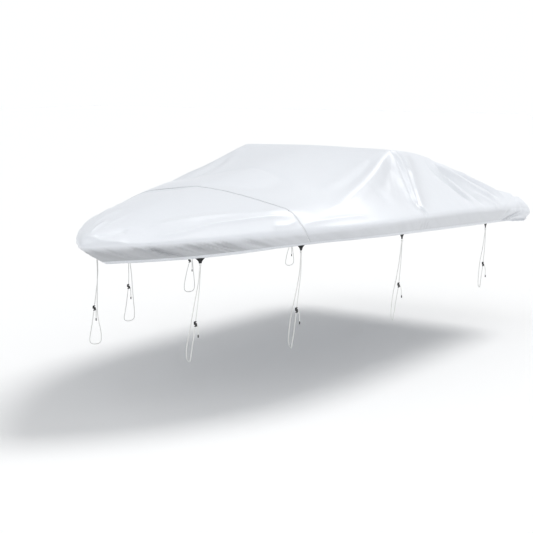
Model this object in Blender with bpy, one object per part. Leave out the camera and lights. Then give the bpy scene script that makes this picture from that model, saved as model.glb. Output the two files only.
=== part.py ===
"""Fitted cover of a small open motor boat: two sewn panels, webbing tabs and rope ties.

The boat itself is not modelled. The cover keeps the shape that it has when it is pulled tight over
a foredeck, a windscreen and a cockpit. Metres, +Z up. The bow points along -X and port is -Y. The
origin lies on the underside of the cloth, at the middle of the windscreen's top edge.
Run with: blender --background --python part.py
"""
import math

import bmesh
import bpy
import numpy as np
from mathutils import Vector

# Driving dimensions. A "station" is a length along the boat, measured aft from the bow edge, and a
# height is measured over the datum, a level plane TOP_OF_SCREEN under the windscreen's top.
LENGTH = 4.79              # bow edge to transom edge
HALF_BEAM = 1.125          # half of the greatest breadth, at the gunwale
TRANSOM_HALF = 1.07        # half breadth at the transom, before its corners are rounded
BOW_RUN = 2.16             # the bow's curve reaches the full beam here
BOW_FULLNESS = 1.87        # powers of the bow's plan curve
BOW_ROUNDNESS = 1.21
BOW_START = 0.004          # the sheet's first row, a little behind the point of the plan curve
STERN_CORNER = 0.07        # plan radius of the transom's corners
WINDSCREEN_STATION = 2.755
WING_STATION = 3.330       # aft end of the windscreen's side wing
SEAM_STATION = 1.24
SEAM_GAP = 0.0018
SHEET = 0.002              # thickness of the coated cloth
HEM_ROLL = 0.007           # thickness of the turned hem
HEM_PROUD = 0.003          # the turned hem stands out from the skirt by this
TOP_OF_SCREEN = 1.738
BOW_ROLL = 0.12            # the top rounds over into the bow and the transom in these lengths
STERN_ROLL = 0.11
ROOF_POWER = 1.4           # the foredeck is roof-like: its section falls off with this power
SOFT_UNTIL = 1.35          # from this station the shoulder comes back, and it is whole at the next
SHOULDER_FROM = 1.80
INSET_LIMIT = 0.45         # the shoulder stays within this share of the half breadth
BOW_RAKE = 0.237           # the skirt slopes aft by this much at the bow, and by less behind
RAKE_END = 2.4             # station where the skirt hangs straight down

# On the starboard foredeck the cloth lies rounder, without a shoulder.
SOFT_POWERS = [
    # station, power that its section falls off with
    (0.30, 3.4),
    (0.90, 2.2),
    (1.40, 2.55),
]

# Cross-sections, from the bow to the transom. The shoulder is the rounded edge of the foredeck,
# then the ridge that climbs to the windscreen's corner, then the edge of the aft slope.
SECTIONS = [
    # station, shoulder inset, shoulder rise, crown rise, straightness of the flank
    (0.000, 0.012, 0.040, 0.050, 0.20),
    (0.150, 0.065, 0.058, 0.084, 0.45),
    (0.300, 0.100, 0.072, 0.115, 0.70),
    (0.500, 0.125, 0.094, 0.154, 0.85),
    (0.800, 0.135, 0.121, 0.205, 0.90),
    (1.240, 0.131, 0.139, 0.262, 0.90),
    (1.500, 0.165, 0.126, 0.303, 0.85),
    (1.750, 0.200, 0.142, 0.340, 0.90),
    (2.020, 0.250, 0.226, 0.382, 1.00),
    (2.320, 0.300, 0.322, 0.430, 1.08),
    (2.600, 0.370, 0.440, 0.486, 1.15),
    (2.755, 0.405, 0.500, 0.512, 1.15),
    (3.030, 0.381, 0.483, 0.490, 1.12),
    (3.330, 0.355, 0.437, 0.440, 1.10),
    (3.440, 0.330, 0.390, 0.388, 1.08),
    (3.900, 0.225, 0.262, 0.245, 1.00),
    (4.340, 0.130, 0.160, 0.145, 0.80),
    (4.680, 0.085, 0.092, 0.080, 0.60),
    (4.790, 0.080, 0.070, 0.065, 0.60),
]

# The hem, seen from above, and how far it lies under the gunwale.
HEM = [
    # station, half breadth, drop
    (0.240, 0.006, 0.154),
    (0.300, 0.105, 0.149),
    (0.360, 0.198, 0.146),
    (0.450, 0.312, 0.142),
    (0.580, 0.440, 0.138),
    (0.850, 0.628, 0.130),
    (1.160, 0.770, 0.120),
    (1.460, 0.882, 0.115),
    (1.860, 0.990, 0.120),
    (2.330, 1.058, 0.126),
    (3.000, 1.072, 0.132),
    (3.800, 1.048, 0.127),
    (4.300, 1.025, 0.116),
    (4.790, 1.000, 0.122),
]
SKIRT_ROWS = [
    # share of the inset, share of the drop, share of HEM_PROUD, thickness
    (0.01, 0.13, 0.0, SHEET),
    (0.44, 0.50, 0.0, SHEET),
    (0.80, 0.82, 0.0, SHEET),
    (0.88, 0.90, 1.0, HEM_ROLL),
    (1.00, 1.00, 1.0, HEM_ROLL),
]

# Pulled folds of the top: ridges (height over 0) and troughs between two points of the plan. Port
# and starboard have the same folds. The first six fan out from the windscreen's corner, the next
# four from the end of its wing, and the rest lie on the sloping front and at the stern's corner.
FOLDS = [
    # station 1, y 1, station 2, y 2, half width 1, half width 2, height
    (2.770, 0.700, 2.600, 1.090, 0.022, 0.040, 0.014),
    (2.850, 0.720, 2.610, 1.100, 0.024, 0.030, 0.016),
    (2.810, 0.740, 2.605, 1.060, 0.018, 0.022, -0.012),
    (2.950, 0.740, 2.630, 1.100, 0.024, 0.024, 0.012),
    (2.905, 0.740, 2.625, 1.080, 0.018, 0.020, -0.010),
    (3.180, 0.760, 2.700, 1.110, 0.060, 0.040, -0.012),
    (3.330, 0.770, 3.520, 1.090, 0.035, 0.050, -0.014),
    (3.340, 0.780, 3.640, 1.080, 0.035, 0.045, 0.014),
    (3.380, 0.790, 3.820, 1.080, 0.035, 0.045, -0.010),
    (3.420, 0.800, 4.020, 1.060, 0.040, 0.045, 0.012),
    (2.720, 0.660, 1.980, 0.620, 0.050, 0.090, 0.014),
    (2.750, 0.300, 1.300, 0.350, 0.120, 0.200, -0.010),
    (4.420, 0.960, 4.700, 0.700, 0.050, 0.050, 0.010),
]
FOLD_OVERRUN = 0.10        # a fold runs on past both its points by this share of its length
FOLD_FADE = 0.26           # share of the length over which each end fades out
FOLD_MARGIN = 0.03         # folds fade out this close to the gunwale

# Rows of the mesh along the boat.
BOW_RUNS = [
    # from station, to station, steps
    (BOW_START, 0.10, 3),
    (0.10, 0.46, 6),
    (0.46, 0.78, 6),
    (0.78, SEAM_STATION, 5),
]
MAIN_RUNS = [
    (SEAM_STATION, 2.32, 11),
    (2.32, 2.52, 4),
    (2.52, WINDSCREEN_STATION, 9),
    (WINDSCREEN_STATION, 3.02, 10),
    (3.02, WING_STATION, 6),
    (WING_STATION, 4.02, 13),
    (4.02, 4.60, 7),
    (4.60, 4.72, 3),
    (4.72, LENGTH, 3),
]
ROOF_STEPS = 8             # steps across the top between the two shoulders
FLANK_STEPS = 6            # steps down each flank

# Tabs: a strip of webbing folded to a point and sewn under the hem.
TAB_WIDTH = 0.056
TAB_WAIST = 0.024
TAB_FOOT = 0.016
TAB_DROP = 0.036
TAB_THICK = 0.0028
TAB_GAP = 0.0006           # from the hem's lower edge
TAB_INWARD = 0.003         # the tab hangs under the middle of the hem's thickness

# Ties: a knot at each tab, a long strand that goes down, turns forward in a loop and comes up to a
# cleat, a short strand (the stay) from the knot to the cleat, and the free end, with a black tip.
ROPE = 0.006               # diameter
KNOT_RADIUS = 0.0095
KNOT_STRETCH = 1.2         # the knot is taller than wide by this
TOUCH = 0.0003             # gap that the pieces of a tie keep where they meet
CLEAT_WIDTH = 0.024
CLEAT_DEPTH = 0.011
CLEAT_HEIGHT = 0.038
TIP_LENGTH = 0.020
TIP_RADIUS = 0.0045

STRAND_SPREAD = 0.0035     # the two strands leave the knot this far to its sides
CLEAT_GAP = 0.0012         # from a rope's end to the cleat
FREE_DROP = 0.006          # the free end leaves the cleat's side this far under its middle

# The port side's ties, from the bow. The starboard side mirrors them. Points are (station, y,
# height). "long", "stay" and "free" are the points that the three ropes pass on their way: from
# the knot round the loop to the cleat, from the knot to the cleat, and from the cleat to the tip.
TIES = [
    {
        "tab": 0.638,
        "long": [(0.6295, -0.473, 0.930), (0.606, -0.455, 0.779), (0.584, -0.438, 0.626),
                 (0.581, -0.420, 0.545), (0.582, -0.404, 0.484), (0.580, -0.400, 0.430),
                 (0.575, -0.407, 0.404), (0.560, -0.432, 0.391), (0.544, -0.458, 0.392),
                 (0.537, -0.471, 0.406), (0.539, -0.475, 0.432), (0.551, -0.475, 0.480),
                 (0.572, -0.475, 0.562)],
        "stay": [(0.638, -0.476, 0.908), (0.618, -0.475, 0.779)],
        "cleat": (0.591, -0.475, 0.646),
        "free": [(0.6115, -0.477, 0.625), (0.613, -0.479, 0.600)],
        "tip": (0.613, -0.480, 0.557),
    },
    {
        "tab": 1.332,
        "long": [(1.340, -0.820, 0.951), (1.337, -0.800, 0.834), (1.330, -0.782, 0.735),
                 (1.320, -0.768, 0.660), (1.314, -0.754, 0.565), (1.313, -0.746, 0.500),
                 (1.311, -0.743, 0.440), (1.306, -0.750, 0.412), (1.289, -0.773, 0.397),
                 (1.270, -0.797, 0.398), (1.261, -0.807, 0.414), (1.266, -0.808, 0.440),
                 (1.284, -0.808, 0.500), (1.301, -0.808, 0.580)],
        "stay": [(1.345, -0.826, 0.937), (1.332, -0.815, 0.789)],
        "cleat": (1.318, -0.808, 0.664),
        "free": [(1.342, -0.810, 0.648), (1.348, -0.812, 0.622)],
        "tip": (1.350, -0.813, 0.566),
    },
    {
        "tab": 2.378,
        "long": [(2.374, -1.040, 0.912), (2.364, -1.020, 0.763), (2.356, -1.003, 0.669),
                 (2.354, -0.990, 0.568), (2.353, -0.985, 0.500), (2.347, -0.990, 0.468),
                 (2.326, -1.008, 0.452), (2.301, -1.031, 0.453), (2.288, -1.043, 0.468),
                 (2.287, -1.047, 0.490), (2.300, -1.049, 0.545), (2.325, -1.047, 0.625)],
        "stay": [(2.376, -1.052, 0.898)],
        "cleat": (2.360, -1.045, 0.720),
        "free": [(2.388, -1.046, 0.705), (2.398, -1.048, 0.680)],
        "tip": (2.400, -1.050, 0.624),
    },
    {
        "tab": 3.868,
        "long": [(3.872, -1.027, 0.870), (3.866, -1.012, 0.769), (3.864, -1.000, 0.694),
                 (3.870, -0.990, 0.603), (3.874, -0.985, 0.535), (3.868, -0.989, 0.504),
                 (3.848, -1.004, 0.488), (3.824, -1.024, 0.488), (3.810, -1.035, 0.503),
                 (3.812, -1.037, 0.530), (3.833, -1.035, 0.600)],
        "stay": [(3.880, -1.036, 0.842)],
        "cleat": (3.867, -1.030, 0.687),
        "free": [(3.897, -1.032, 0.668), (3.907, -1.034, 0.640)],
        "tip": (3.909, -1.035, 0.575),
    },
]
SPAN_TURN = 14.0           # degrees that a rope's curve may turn between two points of its tube

CLOTH_COLOUR = (0.80, 0.83, 0.87, 1.0)
BLACK = (0.012, 0.012, 0.013, 1.0)
WHITE_ROPE = (0.86, 0.86, 0.84, 1.0)


def clear_scene():
    for thing in list(bpy.data.objects):
        bpy.data.objects.remove(thing, do_unlink=True)


def make_material(name, colour, roughness):
    made = bpy.data.materials.new(name)
    made.use_nodes = True
    shader = made.node_tree.nodes["Principled BSDF"]
    shader.inputs["Base Color"].default_value = colour
    shader.inputs["Roughness"].default_value = roughness
    shader.inputs["Metallic"].default_value = 0.0
    return made


def in_frame(station, y, height):
    """A point given by its station and its height over the datum, in the part's frame."""
    return Vector((station - WINDSCREEN_STATION, y, height - TOP_OF_SCREEN + SHEET))


def link_mesh(name, bm, material):
    """Makes a named object of a bmesh, at the origin, and frees the bmesh."""
    mesh = bpy.data.meshes.new(name)
    bm.to_mesh(mesh)
    bm.free()
    mesh.materials.append(material)
    made = bpy.data.objects.new(name, mesh)
    bpy.context.scene.collection.objects.link(made)
    return made


def monotone(xs, ys, x):
    """A smooth curve through a table's points that never overshoots them."""
    xs, ys = np.asarray(xs, float), np.asarray(ys, float)
    if x <= xs[0]:
        return float(ys[0])
    if x >= xs[-1]:
        return float(ys[-1])
    chord = np.diff(ys) / np.diff(xs)
    slope = np.empty(len(xs))
    slope[0], slope[-1] = chord[0], chord[-1]
    for i in range(1, len(xs) - 1):
        before, after = chord[i - 1], chord[i]
        slope[i] = 0.0 if before * after <= 0 else 2 * before * after / (before + after)
    i = int(np.searchsorted(xs, x)) - 1
    step = xs[i + 1] - xs[i]
    t = (x - xs[i]) / step
    level = ys[i] + (ys[i + 1] - ys[i]) * t * t * (3 - 2 * t)
    bend = slope[i] * t * (1 - t) ** 2 - slope[i + 1] * t * t * (1 - t)
    return float(level + step * bend)


def section(station):
    """The values of the cross-section at a station. The cloth breaks at the windscreen's corners."""
    marks = [SECTIONS[0][0], WINDSCREEN_STATION, WING_STATION, SECTIONS[-1][0]]
    for low, high in zip(marks, marks[1:]):
        if station <= high or high == marks[-1]:
            rows = [row for row in SECTIONS if low <= row[0] <= high]
            break
    stations = [row[0] for row in rows]
    return [monotone(stations, [row[i] for row in rows], station) for i in range(1, 5)]


def gunwale_height(station):
    s = station / LENGTH
    return 1.2 + 0.288 * s - 0.459 * s ** 2 + 0.067 * s ** 3


def half_breadth(station):
    """Half breadth of the plan at the gunwale."""
    if station < BOW_RUN:
        t = station / BOW_RUN
        return HALF_BEAM * (1 - (1 - t) ** BOW_FULLNESS) ** (1 / BOW_ROUNDNESS)
    u = (station - BOW_RUN) / (LENGTH - BOW_RUN)
    wide = HALF_BEAM + (TRANSOM_HALF - HALF_BEAM) * u ** 2
    past = max(0.0, station - (LENGTH - STERN_CORNER))
    return wide - (STERN_CORNER - math.sqrt(max(0.0, STERN_CORNER ** 2 - past ** 2)))


def shoulder_of(station):
    """The shoulder's distance from the middle and from the gunwale."""
    half = half_breadth(station)
    inset = min(section(station)[0], INSET_LIMIT * half)
    return half - inset, inset


def roll(station):
    """Share of the rise that is left where the top rounds over into the bow and the transom."""
    ahead = max(0.0, BOW_ROLL - station) / BOW_ROLL
    behind = max(0.0, station - (LENGTH - STERN_ROLL)) / STERN_ROLL
    return math.sqrt(max(0.0, 1 - max(ahead, behind) ** 2))


def top_height(station, y):
    """Height of the outer face over the datum, before the folds."""
    _, rise, crown, straight = section(station)
    shoulder, inset = shoulder_of(station)
    across = min(abs(y), shoulder + inset)
    if across <= shoulder:
        lift = rise + (crown - rise) * (1 - (across / shoulder) ** ROOF_POWER)
    else:
        t = (across - shoulder) / inset
        lift = rise * (1 - straight * t - (1 - straight) * t * t)
    if y > 0:
        power = monotone([row[0] for row in SOFT_POWERS], [row[1] for row in SOFT_POWERS], station)
        round_lift = crown * (1 - (across / (shoulder + inset)) ** power)
        soft = (SHOULDER_FROM - station) / (SHOULDER_FROM - SOFT_UNTIL)
        lift += (round_lift - lift) * min(max(soft, 0.0), 1.0)
    return gunwale_height(station) + roll(station) * lift


def fold_height(station, y):
    """Sum of the pulled folds at a point of the plan."""
    total = 0.0
    for s1, y1, s2, y2, wide1, wide2, height in FOLDS:
        run = (s2 - s1, y2 - y1)
        span = math.hypot(*run)
        along = ((station - s1) * run[0] + (abs(y) - y1) * run[1]) / span ** 2
        off = abs((station - s1) * run[1] - (abs(y) - y1) * run[0]) / span
        wide = wide1 + (wide2 - wide1) * min(max(along, 0.0), 1.0)
        ends = min(along + FOLD_OVERRUN, 1 + FOLD_OVERRUN - along) / FOLD_FADE
        if ends > 0:
            total += height * min(1.0, ends) * math.exp(-(off / wide) ** 2)
    return total * min(1.0, (half_breadth(station) - abs(y)) / FOLD_MARGIN)


def top_point(station, y):
    """A point of the outer face, in the part's frame."""
    step = 0.004
    height = top_height(station, y)
    ahead = min(station, LENGTH - step)
    slope_x = (top_height(ahead + step, y) - top_height(ahead, y)) / step
    inward = y - math.copysign(step, y)
    slope_y = (top_height(station, y) - top_height(station, inward)) / (y - inward)
    normal = Vector((-slope_x, -slope_y, 1.0)).normalized()
    return in_frame(station, y, height) + normal * fold_height(station, y)


def hem_at(station):
    """Half breadth and height of the hem at a station of its own."""
    stations = [row[0] for row in HEM]
    half = monotone(stations, [row[1] for row in HEM], station)
    drop = monotone(stations, [row[2] for row in HEM], station)
    return half, gunwale_height(station) - drop


def hem_point(station, y):
    """The hem's point under the point (station, y) of the top's edge."""
    aft = station + BOW_RAKE * max(0.0, 1 - (station / RAKE_END) ** 2)
    aft = min(aft, LENGTH - HEM_PROUD)
    half, height = hem_at(aft)
    if station > LENGTH - STERN_CORNER:
        half -= half_breadth(LENGTH - STERN_CORNER) - half_breadth(station)
    return Vector((aft, y / half_breadth(station) * half, height))


def edge_direction(station, y):
    """The way out of the cover, seen from above, at a point of the top's edge."""
    if abs(y) < half_breadth(station) - 1e-4:
        return Vector((-1.0 if station < SEAM_STATION else 1.0, 0.0, 0.0))
    step = 0.01
    low, high = max(BOW_START, station - step), min(LENGTH, station + step)
    slope = (half_breadth(high) - half_breadth(low)) / (high - low)
    return Vector((-slope, math.copysign(1.0, y), 0.0)).normalized()


def skirt_point(station, y, in_share, drop_share, proud):
    """A point of the skirt under the edge point (station, y), in the part's frame."""
    edge = Vector((station, y, gunwale_height(station)))
    share = Vector((in_share, in_share, drop_share))
    point = edge + (hem_point(station, y) - edge) * share
    point += edge_direction(station, y) * HEM_PROUD * proud
    return in_frame(*point)


def rows_of(runs):
    stations = [runs[0][0]]
    for start, end, steps in runs:
        stations += [start + (end - start) * (i + 1) / steps for i in range(steps)]
    return stations


def columns_at(station):
    """The y values across the cover, from starboard to port, with the shoulders on columns."""
    shoulder, inset = shoulder_of(station)
    flank = [shoulder + inset * (1 - i / FLANK_STEPS) for i in range(FLANK_STEPS)]
    roof = [shoulder * (1 - 2 * i / ROOF_STEPS) for i in range(ROOF_STEPS + 1)]
    return flank + roof + [-y for y in reversed(flank)]


def make_panel(name, stations, seam, material):
    """One sewn panel: the top as a grid, the skirt drawn down from its edge, and the thickness."""
    across = 2 * FLANK_STEPS + ROOF_STEPS
    along = len(stations) - 1
    columns = [columns_at(station) for station in stations]
    bm = bmesh.new()
    bmesh.ops.create_grid(bm, x_segments=along, y_segments=across, size=1.0)
    plan_x = bm.verts.layers.float.new("station")
    plan_y = bm.verts.layers.float.new("across")
    thickness = bm.verts.layers.float.new("thickness")
    for vert in bm.verts:
        row = round((vert.co.x + 1) / 2 * along)
        column = round((1 - vert.co.y) / 2 * across)
        vert[plan_x], vert[plan_y] = stations[row], columns[row][column]
        vert[thickness] = SHEET
        vert.co = top_point(vert[plan_x], vert[plan_y])

    edges = [edge for edge in bm.edges if edge.is_boundary
             and not all(abs(vert[plan_x] - seam) < 1e-6 for vert in edge.verts)]
    for in_share, drop_share, proud, thick in SKIRT_ROWS:
        made = bmesh.ops.extrude_edge_only(bm, edges=edges)["geom"]
        edges = [thing for thing in made if isinstance(thing, bmesh.types.BMEdge)]
        for vert in (thing for thing in made if isinstance(thing, bmesh.types.BMVert)):
            vert.co = skirt_point(vert[plan_x], vert[plan_y], in_share, drop_share, proud)
            vert[thickness] = thick

    bmesh.ops.recalc_face_normals(bm, faces=bm.faces)
    highest = max(bm.faces, key=lambda face: face.calc_center_median().z)
    if highest.normal.z < 0:
        bmesh.ops.reverse_faces(bm, faces=bm.faces)
    bm.verts.index_update()
    weights = [vert[thickness] / HEM_ROLL for vert in bm.verts]
    panel = link_mesh(name, bm, material)
    group = panel.vertex_groups.new(name="thickness")
    for index, weight in enumerate(weights):
        group.add([index], weight, "REPLACE")
    solid = panel.modifiers.new("thickness", "SOLIDIFY")
    solid.thickness = HEM_ROLL
    solid.offset = -1.0
    solid.vertex_group = group.name
    panel.data.shade_smooth()
    panel.data.set_sharp_from_angle(angle=math.radians(40))
    return panel


def make_tab(name, station, side, material):
    """A folded webbing tab, drawn as one outline that is as thick as its two layers."""
    half, height = hem_at(station)
    step = TAB_WIDTH / 2
    slope = (hem_at(station + step)[1] - hem_at(station - step)[1]) / TAB_WIDTH
    turn = (hem_at(station + step)[0] - hem_at(station - step)[0]) / TAB_WIDTH
    outline = [(-TAB_WIDTH / 2, 0.0), (-TAB_WAIST / 2, -0.5), (-TAB_FOOT / 2, -0.85),
               (-TAB_FOOT / 4, -1.0), (TAB_FOOT / 4, -1.0), (TAB_FOOT / 2, -0.85),
               (TAB_WAIST / 2, -0.5), (TAB_WIDTH / 2, 0.0)]
    bm = bmesh.new()
    verts = []
    for x, share in outline:
        # The top edge follows the hem, and the foot hangs straight down.
        level = slope * x - TAB_GAP + share * TAB_DROP
        y = half + turn * x - TAB_INWARD - TAB_THICK / 2
        verts.append(bm.verts.new(in_frame(station + x, side * y, height + level)))
    face = bm.faces.new(verts)
    made = bmesh.ops.extrude_face_region(bm, geom=[face])["geom"]
    moved = [thing for thing in made if isinstance(thing, bmesh.types.BMVert)]
    bmesh.ops.translate(bm, verts=moved, vec=(0.0, side * TAB_THICK, 0.0))
    bmesh.ops.recalc_face_normals(bm, faces=bm.faces)
    return link_mesh(name, bm, material)


def make_knot(name, place, material):
    bm = bmesh.new()
    bmesh.ops.create_icosphere(bm, subdivisions=2, radius=KNOT_RADIUS)
    bmesh.ops.scale(bm, verts=bm.verts, vec=(1.0, 1.0, KNOT_STRETCH))
    bmesh.ops.translate(bm, verts=bm.verts, vec=in_frame(*place))
    made = link_mesh(name, bm, material)
    made.data.shade_smooth()
    return made


def make_cleat(name, place, material):
    """A small bar cleat: an S-shaped outline, extruded. The rope turns inside its two hooks."""
    w, h = CLEAT_WIDTH / 2, CLEAT_HEIGHT / 2
    half_outline = [(-w, h * 0.25), (-w, h * 0.8), (-w * 0.5, h), (w * 0.6, h),
                    (w * 0.6, h * 0.55), (w, h * 0.2)]
    outline = half_outline + [(-x, -z) for x, z in half_outline]
    bm = bmesh.new()
    face = bm.faces.new([bm.verts.new((x, -CLEAT_DEPTH / 2, z)) for x, z in outline])
    made = bmesh.ops.extrude_face_region(bm, geom=[face])["geom"]
    moved = [thing for thing in made if isinstance(thing, bmesh.types.BMVert)]
    bmesh.ops.translate(bm, verts=moved, vec=(0.0, CLEAT_DEPTH, 0.0))
    bmesh.ops.recalc_face_normals(bm, faces=bm.faces)
    bmesh.ops.translate(bm, verts=bm.verts, vec=in_frame(*place))
    return link_mesh(name, bm, material)


def make_tip(name, place, material):
    bm = bmesh.new()
    bmesh.ops.create_cone(bm, cap_ends=True, segments=10, radius1=TIP_RADIUS * 0.8,
                          radius2=TIP_RADIUS, depth=TIP_LENGTH)
    bmesh.ops.translate(bm, verts=bm.verts, vec=in_frame(*place))
    return link_mesh(name, bm, material)


def smooth_route(points):
    """Points of a smooth curve through a route, closer together where the curve turns."""
    points = [Vector(p) for p in points]
    padded = [points[0] * 2 - points[1], *points, points[-1] * 2 - points[-2]]
    route = [points[0]]
    for before, start, end, after in zip(padded, padded[1:], padded[2:], padded[3:]):
        reach = (end - start).length
        leave = (end - before).normalized() * reach
        arrive = (after - start).normalized() * reach
        steps = max(1, math.ceil(math.degrees(leave.angle(arrive)) / SPAN_TURN))
        for i in range(1, steps + 1):
            t = i / steps
            route.append(start * (2 * t ** 3 - 3 * t ** 2 + 1) + leave * (t ** 3 - 2 * t ** 2 + t)
                         + end * (3 * t ** 2 - 2 * t ** 3) + arrive * (t ** 3 - t ** 2))
    return route


def make_rope(name, route, material):
    """A rope as a bevelled curve with closed ends."""
    curve = bpy.data.curves.new(name, "CURVE")
    curve.dimensions = "3D"
    curve.bevel_depth = ROPE / 2
    curve.bevel_resolution = 2
    curve.use_fill_caps = True
    spline = curve.splines.new("POLY")
    spline.points.add(len(route) - 1)
    for point, place in zip(spline.points, route):
        point.co = (*in_frame(*place), 1.0)
    curve.materials.append(material)
    made = bpy.data.objects.new(name, curve)
    bpy.context.scene.collection.objects.link(made)
    return made


def knot_place(station):
    """The middle of the knot under the foot of the port side's tab at a station."""
    half, height = hem_at(station)
    foot = height - TAB_GAP - TAB_DROP
    return station, -(half - TAB_INWARD), foot - TOUCH - KNOT_RADIUS * KNOT_STRETCH


def strands(tie):
    """The routes of a port side's three ropes, with the ends that meet the knot, cleat and tip."""
    knot_x, knot_y, knot_z = knot_place(tie["tab"])
    under_knot = knot_z - KNOT_RADIUS * KNOT_STRETCH - TOUCH
    cleat_x, cleat_y, cleat_z = tie["cleat"]
    tip_x, tip_y, tip_z = tie["tip"]
    reach = CLEAT_HEIGHT / 2 + CLEAT_GAP
    return {
        "long": [(knot_x - STRAND_SPREAD, knot_y, under_knot), *tie["long"],
                 (cleat_x - STRAND_SPREAD, cleat_y, cleat_z - reach)],
        "stay": [(knot_x + STRAND_SPREAD, knot_y, under_knot), *tie["stay"],
                 (cleat_x + STRAND_SPREAD, cleat_y, cleat_z + reach)],
        "free": [(cleat_x + CLEAT_WIDTH / 2 + ROPE / 2 + TOUCH, cleat_y, cleat_z - FREE_DROP),
                 *tie["free"], (tip_x, tip_y, tip_z + TIP_LENGTH / 2 + CLEAT_GAP)],
    }


def make_tie(tie, number, side, materials):
    """One tab with its tie. Side is 1 for starboard and -1 for port."""
    name = f"{'port' if side < 0 else 'starboard'}_{number}"

    def mirrored(point):
        return (point[0], -side * point[1], point[2])

    webbing, rope, plastic = materials
    make_tab(f"tab_{name}", tie["tab"], side, webbing)
    make_knot(f"knot_{name}", mirrored(knot_place(tie["tab"])), rope)
    make_cleat(f"cleat_{name}", mirrored(tie["cleat"]), plastic)
    make_tip(f"tip_{name}", mirrored(tie["tip"]), plastic)
    for strand, points in strands(tie).items():
        route = smooth_route([mirrored(point) for point in points])
        make_rope(f"rope_{strand}_{name}", route, rope)


def build():
    clear_scene()
    bow_rows = rows_of(BOW_RUNS)
    bow_rows[-1] -= SEAM_GAP / 2
    main_rows = rows_of(MAIN_RUNS)
    main_rows[0] += SEAM_GAP / 2
    cloth = make_material("cloth", CLOTH_COLOUR, 0.55)
    make_panel("panel_bow", bow_rows, bow_rows[-1], cloth)
    make_panel("panel_main", main_rows, main_rows[0], cloth)
    materials = (make_material("webbing", BLACK, 0.8),
                 make_material("rope", WHITE_ROPE, 0.75),
                 make_material("cleat_plastic", BLACK, 0.45))
    for side in (-1, 1):
        for number, tie in enumerate(TIES, 1):
            make_tie(tie, number, side, materials)


build()
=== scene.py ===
"""Looks of the fitted boat cover: draped cloth, stitched seam and hem, webbing tabs and rope ties.

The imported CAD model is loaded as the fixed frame. Every CAD node is replaced by a finer piece of the
same shape and place. Lengths are in metres. The bow points along -X and port is -Y. A "station" is
a length measured aft from the bow, and a "height" is measured over a level datum. The cloth's form
is worked out from the same driving dimensions as the CAD source.
"""
from __future__ import annotations

import logging
import math
from dataclasses import dataclass, field
from enum import Enum
from typing import Callable, Iterable, Iterator, Sequence

import bmesh
import bpy
import numpy as np
from mathutils import Matrix, Vector, noise

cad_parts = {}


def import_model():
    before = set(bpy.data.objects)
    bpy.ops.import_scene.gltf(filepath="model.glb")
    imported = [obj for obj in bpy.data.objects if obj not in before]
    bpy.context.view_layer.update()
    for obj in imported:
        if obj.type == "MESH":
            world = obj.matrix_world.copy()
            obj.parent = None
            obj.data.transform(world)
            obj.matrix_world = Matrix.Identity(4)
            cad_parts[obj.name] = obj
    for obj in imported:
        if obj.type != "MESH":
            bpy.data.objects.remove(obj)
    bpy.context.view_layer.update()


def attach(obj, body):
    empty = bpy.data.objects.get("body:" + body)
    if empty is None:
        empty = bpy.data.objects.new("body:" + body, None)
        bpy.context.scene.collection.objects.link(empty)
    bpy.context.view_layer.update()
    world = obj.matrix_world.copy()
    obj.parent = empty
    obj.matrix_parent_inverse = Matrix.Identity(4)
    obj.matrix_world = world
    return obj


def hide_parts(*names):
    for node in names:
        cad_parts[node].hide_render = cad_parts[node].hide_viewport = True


LOG = logging.getLogger("boat_cover")

Point = tuple[float, float, float]
Pair = tuple[float, float]
Span = Pair
Colour = tuple[float, float, float]


class Side(Enum):
    """A side of the cover, with the sign of its y."""

    PORT = -1
    STARBOARD = 1

    @property
    def label(self) -> str:
        """The word that the CAD nodes use for this side."""
        return self.name.lower()


# --- Driving dimensions -------------------------------------------------------------------------


@dataclass(frozen=True)
class CoverSizes:
    """Driving dimensions of the cover's form. A span is where a change starts and where it ends."""

    length: float = 4.79
    half_beam: float = 1.125
    transom_half: float = 1.07
    sheer: tuple[float, float, float, float] = (0.067, -0.459, 0.288, 1.2)  # highest power first
    bow_run: float = 2.16
    bow_fullness: float = 1.87
    bow_roundness: float = 1.21
    bow_start: float = 0.004
    stern_corner: float = 0.07
    windscreen: float = 2.755
    wing_end: float = 3.330
    seam: float = 1.24
    seam_gap: float = 0.0018
    sheet: float = 0.002
    hem_roll: float = 0.007
    hem_layers: float = 1.5
    hem_proud: float = 0.003
    top_of_screen: float = 1.738
    bow_roll: float = 0.12
    stern_roll: float = 0.11
    roof_power: float = 1.4
    soft_power_bow: float = 3.4
    soft_power: float = 2.2
    soft_power_aft: float = 2.55
    soft_bow_span: Span = (0.3, 0.9)
    soft_aft_span: Span = (0.9, 1.4)
    soft_until: float = 1.35
    shoulder_from: float = 1.80
    shoulder_blend: float = 0.018
    shoulder_blend_ahead: float = 0.024
    shoulder_blend_span: Span = (2.46, 2.68)
    shoulder_blend_straight: Span = (0.3, 0.8)
    inset_limit: float = 0.45
    bow_rake: float = 0.237
    rake_end: float = 2.4
    skirt_tuck: float = 1.3
    edge_round: float = 0.026
    edge_round_aft: float = 0.046
    edge_round_span: Span = (4.20, 4.60)
    edge_round_limit: float = 0.16


@dataclass(frozen=True)
class Section:
    """A cross-section of the top at one station."""

    station: float
    inset: float
    rise: float
    crown: float
    straight: float


@dataclass(frozen=True)
class HemMark:
    """Where the hem lies at one station: half breadth, and drop under the gunwale."""

    station: float
    half: float
    drop: float


@dataclass(frozen=True)
class SkirtRow:
    """One row of the skirt's mesh, from the gunwale down to the hem."""

    down: float
    proud: float
    thick: float


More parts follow.
